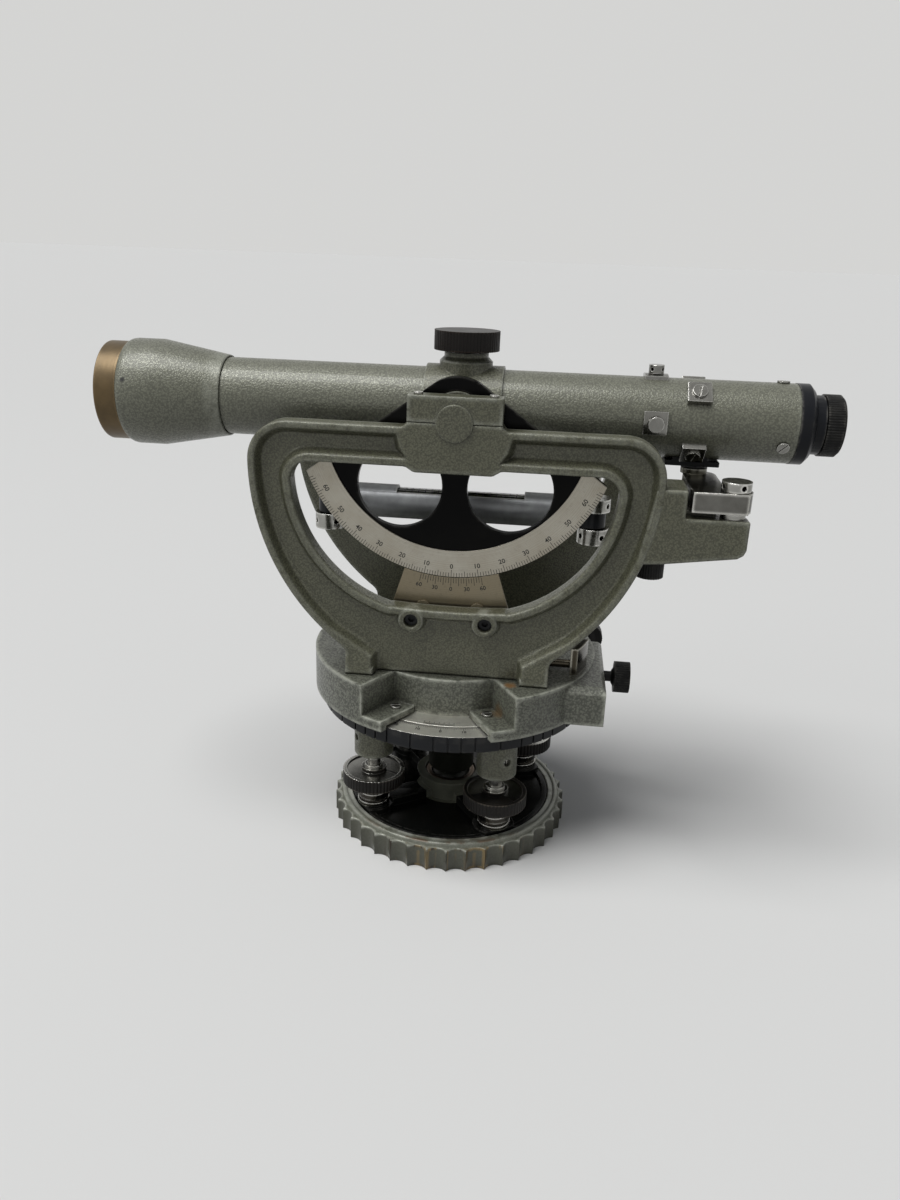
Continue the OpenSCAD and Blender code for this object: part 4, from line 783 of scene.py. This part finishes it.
def ear_collar(name, across, side):
    """A turned collar round an ear's screw: a square section with rounded corners, whose axis is -Y for
    the front frame and +Y for the rear one."""
    outer, inner, edge, low, high = 0.00425, 0.0025, 0.0004, 0.0310, 0.03685

    def quarter(r, z, first):
        t = np.radians(first + np.linspace(0, 90, 5))
        return np.stack([r + edge * np.cos(t), z + edge * np.sin(t)], -1)

    profile = np.vstack([quarter(outer - edge, low + edge, -90), quarter(outer - edge, high - edge, 0),
                         quarter(inner + edge, high - edge, 90), quarter(inner + edge, low + edge, 180)])
    rings = around_axis(profile, 72)
    rings = np.stack([-side * rings[..., 0], side * rings[..., 2], rings[..., 1]], -1)
    surface(name, rings + [across, 0, ear_height], "alidade", thin_enamel)


for side, frame_name in ((-1, "front"), (1, "rear")):
    ear_collar(f"{frame_name}_ear_left", -ear_side, side)
    ear_collar(f"{frame_name}_ear_right", ear_side, side)

# Lever bracket
# A shelf cast in one with the front frame. It carries the lock lever on a washer, and a stop knob below.
# Its top steps up where it meets the frame.
pivot_x, pivot_y, shelf_top, washer_top = 0.0949, -0.0311, 0.1407, 0.14285
stop_x, stop_y, boss_radius, washer_radius = 0.070, -0.0250, 0.0056, 0.0042
bracket = [[0.0640, 0.1235], [0.0722, 0.1241], [0.0973, 0.1276], [0.0993, 0.1289], [0.1001, 0.1307],
           [0.1001, shelf_top], [0.0788, shelf_top], [0.0788, 0.1501], [0.0686, 0.1501]]
shelf = [[0.0660, 0.1240], [0.0722, 0.1243], [0.0972, 0.1278], [0.0991, 0.1291], [0.0999, 0.1309],
         [0.0999, shelf_top - 0.0001], [0.0690, shelf_top - 0.0001]]
stepped = [[0.0676, 0.1385], [0.0895, 0.1385], [0.0895, 0.1425], [0.0794, 0.1425], [0.0794, 0.1497],
           [0.0676, 0.1497]]
prism("lever_bracket", bracket, -0.0366, -frame_back, 1, "alidade", casting_enamel, 0.0007)
prism("bracket_shelf", shelf, -0.0305, -0.0255, 1, "alidade", casting_enamel, 0.0007)
prism("bracket_step", stepped, -0.0310, -0.0165, 1, "alidade", casting_enamel, 0.0007)
round_48 = np.radians(np.arange(0, 360, 7.5))
circle_48 = np.stack([np.cos(round_48), np.sin(round_48)], -1)
prism("stop_boss", [stop_x, stop_y] + boss_radius * circle_48, 0.1257, shelf_top, 2, "alidade",
      casting_enamel, 0.0004)
prism("lever_washer", [pivot_x, pivot_y] + washer_radius * circle_48, shelf_top - 0.0002, washer_top, 2,
      "alidade", nickel_z, 0.0003)

# Bearings
# Each frame has a cap over its half bearing, held by two slotted screws, and a round trunnion cover.
# The caps are enamelled with the frames and have worn edges.
smoothed("bearing_caps", "alidade", casting_enamel, 0.0006, 3)
smoothed("trunnion_covers", "alidade", thin_enamel, 0.0004, 3)
smoothed("cap_screws", "alidade", old_nickel, 0.0002)

# Vertical arc
# A black enamelled sector with two lightening holes turns with the telescope.
# Its nickel silver scale reads sixty degrees each way against a vernier fixed between the ears.
arc_black = enamel("arc_black", (0.0030, 0.0030, 0.0030), 0.16, dust=0.10, wear_and_highlight=0.1, gloss=0.06)
arc_centre, upright = (0, 0, trunnion), (1, 0, 1)
arc_silver = circular_brush("arc_silver", (0.43, 0.405, 0.345), arc_centre, upright, 0.32, 0.35)
vernier_silver = circular_brush("vernier_silver", (0.235, 0.203, 0.142), arc_centre, upright, 0.34, 0.5)
smoothed("arc_casting", "telescope", arc_black, 0.0003)
smoothed("arc_scale", "telescope", arc_silver, 0.0001)
smoothed("arc_vernier", "alidade", vernier_silver, 0.00015)
smoothed("vernier_mount", "alidade", casting_enamel, 0.0004)
smoothed("vernier_screws", "alidade", vernier_silver, 0.0001)
smoothed("ear_screws", "alidade", rim_black, 0.0001)
arc_front = float(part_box("arc_scale")[0].y)


def arc_strokes(name, degrees, inner, outer, body):
    """Strokes on the upright face about the trunnion; 0 points straight down."""
    t = np.radians(degrees)
    way = np.stack([np.sin(t), 0 * t, -np.cos(t)], -1)
    across = np.stack([np.cos(t), 0 * t, np.sin(t)], -1)
    centre = np.array([0, arc_front, trunnion])
    return strokes(name, centre + way * inner[:, None], centre + way * outer[:, None], across, 0.00020,
                   np.array([0.0, -1.0, 0.0]), body)


# Whole degrees on the arc, and a vernier that divides eleven degrees into twelve steps on each side.
arc_edge, vernier_edge = 0.0562, 0.05662
whole = np.arange(-66, 67)
tick = np.where(whole % 10 == 0, 0.0026, np.where(whole % 5 == 0, 0.0021, 0.0015))
arc_strokes("arc_graduations", whole.astype(float), arc_edge - tick, np.full(len(whole), arc_edge),
            "telescope")
twelfth = np.arange(-12, 13)
vernier_tick = np.where(twelfth % 3 == 0, 0.0030, 0.0020)
arc_strokes("arc_vernier_graduations", twelfth * (11.0 / 12), np.full(len(twelfth), vernier_edge),
            vernier_edge + vernier_tick, "alidade")


def on_arc(degrees, radius):
    """A figure's place on the arc or its vernier, upright at 0."""
    t = np.radians(degrees)
    return ((radius * np.sin(t), arc_front, trunnion - radius * np.cos(t)),
            (np.cos(t), 0, np.sin(t)), (-np.sin(t), 0, np.cos(t)))


figures("arc_figures", [str(abs(v)) for v in range(-60, 61, 10)],
        [on_arc(v, 0.0524) for v in range(-60, 61, 10)], 0.0024, "telescope")
figures("arc_vernier_figures", ["60", "30", "0", "30", "60"],
        [on_arc(v, 0.0609) for v in (-11.0, -5.5, 0.0, 5.5, 11.0)], 0.0022, "alidade")

# Lock lever
# A nickel plated lever swings under the telescope and its stud bears on a pad, to lock the tube level.
# It turns on a shouldered screw with a capstan head.
def lever_plating():
    """Old nickel plate: lighter at the front, where hands reach it, and darker and browner at the back,
    under the telescope.
    """
    n = Nodes("lever_plating")
    where = n.place()
    film = n.noise(where, 150.0, 4.0, 0.6)
    # Darker and browner towards the back, under the telescope.
    behind = n.ramp(n.along(where, 1), -0.0318, -0.0300)
    tone = n.mix(n.ramp(film, 0.35, 0.75), (0.150, 0.147, 0.135), (0.095, 0.092, 0.082))
    back_tone = n.mix(film, (0.050, 0.048, 0.036), (0.115, 0.108, 0.084))
    colour = n.mix(n.times(behind, 0.85), tone, back_tone)
    # Painted highlight on the edges, weaker towards the back.
    edge_highlight_share = n.math("SUBTRACT", 0.8, n.times(behind, 0.6))
    edge = n.times(n.ramp(n.crest(0.0012), 0.12, 0.34), edge_highlight_share)
    colour = n.mix(edge, colour, (0.62, 0.61, 0.57))
    pits = n.noise(where, 2600.0, 2.0, 0.6)
    rounded = n.rounded(0.0006)
    return n.set(Base_Color=colour, Metallic=1.0, Roughness=n.between(film, 0.13, 0.28),
                 Normal=n.bump(pits, 0.00002, 0.3, rounded))


smoothed("lock_lever", "lever", lever_plating(), 0.0011, 4)
smoothed("pivot_screw", "alidade", nickel_z, 0.0003)
smoothed("stop_knob", "bracket_knob", knob_black, 0.00012, 1)
smoothed("lock_pad", "telescope", rim_black, 0.0003)

# Telescope
# A drawn tube in a finer hammered enamel, clamped in the sleeve that carries the trunnions.
# The bell at the left holds the objective behind a bronze ring. A grub screw's hole in its side is a patch
# of painted shade.
tube_tone = (0.146, 0.149, 0.112)
tube_enamel = hammered("tube_enamel", tube_tone, 1350.0, 0.32, 0.35, 0.5)
smoothed("telescope_tube", "telescope", tube_enamel, 0.0002)
smoothed("center_sleeve", "telescope", thin_enamel, 0.0006, 3)
# Painted shade: a dark patch on the bell stands for the grub screw's hole.
grub_hole_shade = ((-0.1220, -0.0183, 0.1748), 0.0012, (0.003, 0.003, 0.002), 1.0)
bell_enamel = hammered("bell_enamel", tube_tone, 1350.0, 0.32, 0.35, 0.5, stains_and_shade=(grub_hole_shade,))
smoothed("objective_bell", "telescope", bell_enamel, 0.0004)
ring_bronze = turned("ring_bronze", (0.118, 0.080, 0.036), 0.36, "X", 0.5, 0.6, (0.40, 0.29, 0.16),
                     0.4)
smoothed("objective_ring", "telescope", ring_bronze, 0.0004)


def coated_glass(name, tone):
    """Clear glass with a tint and a faint smear."""
    n = Nodes(name)
    smear = n.noise(n.place(), 60.0, 3.0, 0.6)
    shine = n.between(smear, 0.02, 0.044)
    return n.set(Base_Color=(*tone, 1), Roughness=shine, Transmission_Weight=1.0, IOR=1.5, Coat_Weight=0.3)


lens_glass = coated_glass("lens_glass", (0.62, 0.72, 0.86))
smoothed("objective_lens", "telescope", lens_glass)
inner_steel = turned("inner_steel", (0.30, 0.29, 0.26), 0.35, "X")
smoothed("focus_slide", "focus_lens_slide", inner_steel)
smoothed("reticle", "telescope", inner_steel)
smoothed("erector_cell", "telescope", inner_steel)

# Focusing knob
# A knurled knob of blackened brass on the turret above the trunnions.
# Its pinion moves the focusing slide.
focus_brown = blackened("focus_brown", (0.0055, 0.0040, 0.0032), (0.10, 0.065, 0.042))
smoothed("focus_knob", "focus_wheel", focus_brown, 0.00014, 1)

# Adjusting screws
# Capstan screws set the cross hairs, and screwed nickel blocks hold the erecting lenses.
# Small slotted screws fix the eyepiece mount.
plated = turned("plated", (0.25, 0.246, 0.228), 0.16, "X", corner_shade=0.9, shown=0.6, edge=0.0003)
smoothed("reticle_screws", "telescope", plated, 0.0002)
smoothed("erector_screws", "telescope", plated, 0.0003)
smoothed("end_screws", "telescope", plated, 0.0001)

# Eyepiece
# A black mount closes the tube, and a knurled ring on it turns to focus the cross hairs.
# Its lens is the smaller end that the eye looks into.
eyepiece_black = enamel("eyepiece_black", (0.008, 0.009, 0.012), 0.28, dust=0.2, wear_and_highlight=0.25)
smoothed("eyepiece_mount", "telescope", eyepiece_black, 0.0003)
smoothed("eyepiece_ring", "eyepiece", knob_black, 0.00012, 1)
smoothed("eye_lens", "eyepiece", lens_glass)

# Level vial
# A satin metal tube hangs under the telescope between capstan nuts, and is cut open over the spirit glass.
# The glass has black graduations on each side of its middle.
vial_satin = turned("vial_satin", (0.36, 0.37, 0.38), 0.40, "X", corner_shade=0.4, metal=0.45, shown=0.5)
smoothed("vial_tube", "telescope", vial_satin, 0.0002)
smoothed("vial_glass", "telescope", coated_glass("spirit_glass", (0.74, 0.80, 0.50)))
glass_low, glass_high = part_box("vial_glass")
glass_middle, glass_radius = (glass_low + glass_high) / 2, (glass_high.z - glass_low.z) / 2
marks = np.concatenate([side * np.arange(0.006, 0.0225, 0.0025) for side in (-1, 1)])
bends = np.arange(20, 160, 20)
mark_x, low_end = [grid.reshape(-1) for grid in np.meshgrid(marks, np.radians(bends))]
half_way, high_end = low_end + np.radians(10), low_end + np.radians(20)


def on_glass(x, angle):
    """A place on the glass's upper half: the angle rises from its front edge to its back edge."""
    return np.stack([glass_middle.x + x, glass_middle.y - glass_radius * np.cos(angle),
                     glass_middle.z + glass_radius * np.sin(angle)], -1)


outwards = np.stack([0 * half_way, -np.cos(half_way), np.sin(half_way)], -1)
# Each mark is made of straight bars, so it is lifted clear of the round glass.
clear_of_glass = 8
strokes("vial_graduations", on_glass(mark_x, low_end), on_glass(mark_x, high_end),
        np.tile([1.0, 0.0, 0.0], (len(mark_x), 1)), 0.00025, outwards * clear_of_glass, "telescope")
smoothed("vial_lugs", "telescope", rim_black, 0.0003)
smoothed("vial_nuts", "telescope", nickel_z, 0.0003)

# Floor and light
# A plain pale floor and backdrop, lit by a broad soft light from above the left of the front.
# Two weak soft lamps fill the sides.
def by_ray(tree, bounced, shown):
    """One colour for what the camera, a mirror or a glass shows, and one for light that only bounces."""
    rays = tree.nodes.new("ShaderNodeLightPath")
    shows = rays.outputs["Is Camera Ray"]
    for kind in ("Is Glossy Ray", "Is Transmission Ray"):
        either = tree.nodes.new("ShaderNodeMath")
        either.operation = "MAXIMUM"
        tree.links.new(shows, either.inputs[0])
        tree.links.new(rays.outputs[kind], either.inputs[1])
        shows = either.outputs[0]
    blend = tree.nodes.new("ShaderNodeMix")
    blend.data_type = "RGBA"
    blend.inputs[6].default_value = (*bounced, 1)
    blend.inputs[7].default_value = (*shown, 1)
    tree.links.new(shows, blend.inputs[0])
    return blend.outputs[2]


backdrop_shown = (0.66, 0.66, 0.65)
floor_paint = bpy.data.materials.new("floor_paint")
floor_paint.use_nodes = True
paint = floor_paint.node_tree
matt = paint.nodes["Principled BSDF"]
paint.links.new(by_ray(paint, (0.20, 0.20, 0.195), backdrop_shown), matt.inputs["Base Color"])
matt.inputs["Roughness"].default_value = 0.9
reach = 30
ground = bpy.data.meshes.new("floor")
ground.from_pydata([(-reach, -reach, 0), (reach, -reach, 0), (reach, reach, 0), (-reach, reach, 0)], [],
                   [(0, 1, 2, 3)])
ground.materials.append(floor_paint)
floor = bpy.data.objects.new("floor", ground)
scene.collection.objects.link(floor)

studio = bpy.data.worlds.new("studio")
studio.use_nodes = True
scene.world = studio
sky = studio.node_tree
sky.links.new(by_ray(sky, (0.175, 0.18, 0.188), backdrop_shown), sky.nodes["Background"].inputs["Color"])
sky.nodes["Background"].inputs["Strength"].default_value = 1.0


def lit(lamp, from_place, aim):
    """Hangs a lamp at a place, with its light going towards another place."""
    holder = bpy.data.objects.new(lamp.name, lamp)
    facing = (Vector(aim) - Vector(from_place)).to_track_quat("-Z", "Y")
    holder.matrix_world = Matrix.Translation(from_place) @ facing.to_matrix().to_4x4()
    scene.collection.objects.link(holder)


overhead = bpy.data.lights.new("overhead", "SUN")
overhead.energy = 2.7
overhead.angle = np.radians(38)
lit(overhead, (-0.34, -0.24, 1.0), (0, 0, 0))
for name, place, watts in (("lamp_left", (-0.9, -0.7, 0.75), 1.6), ("lamp_right", (1.0, -0.6, 0.6), 0.3)):
    lamp = bpy.data.lights.new(name, "AREA")
    lamp.shape = "RECTANGLE"
    lamp.size, lamp.size_y = 0.5, 0.6
    lamp.energy = watts
    lit(lamp, place, (0, 0, 0.12))
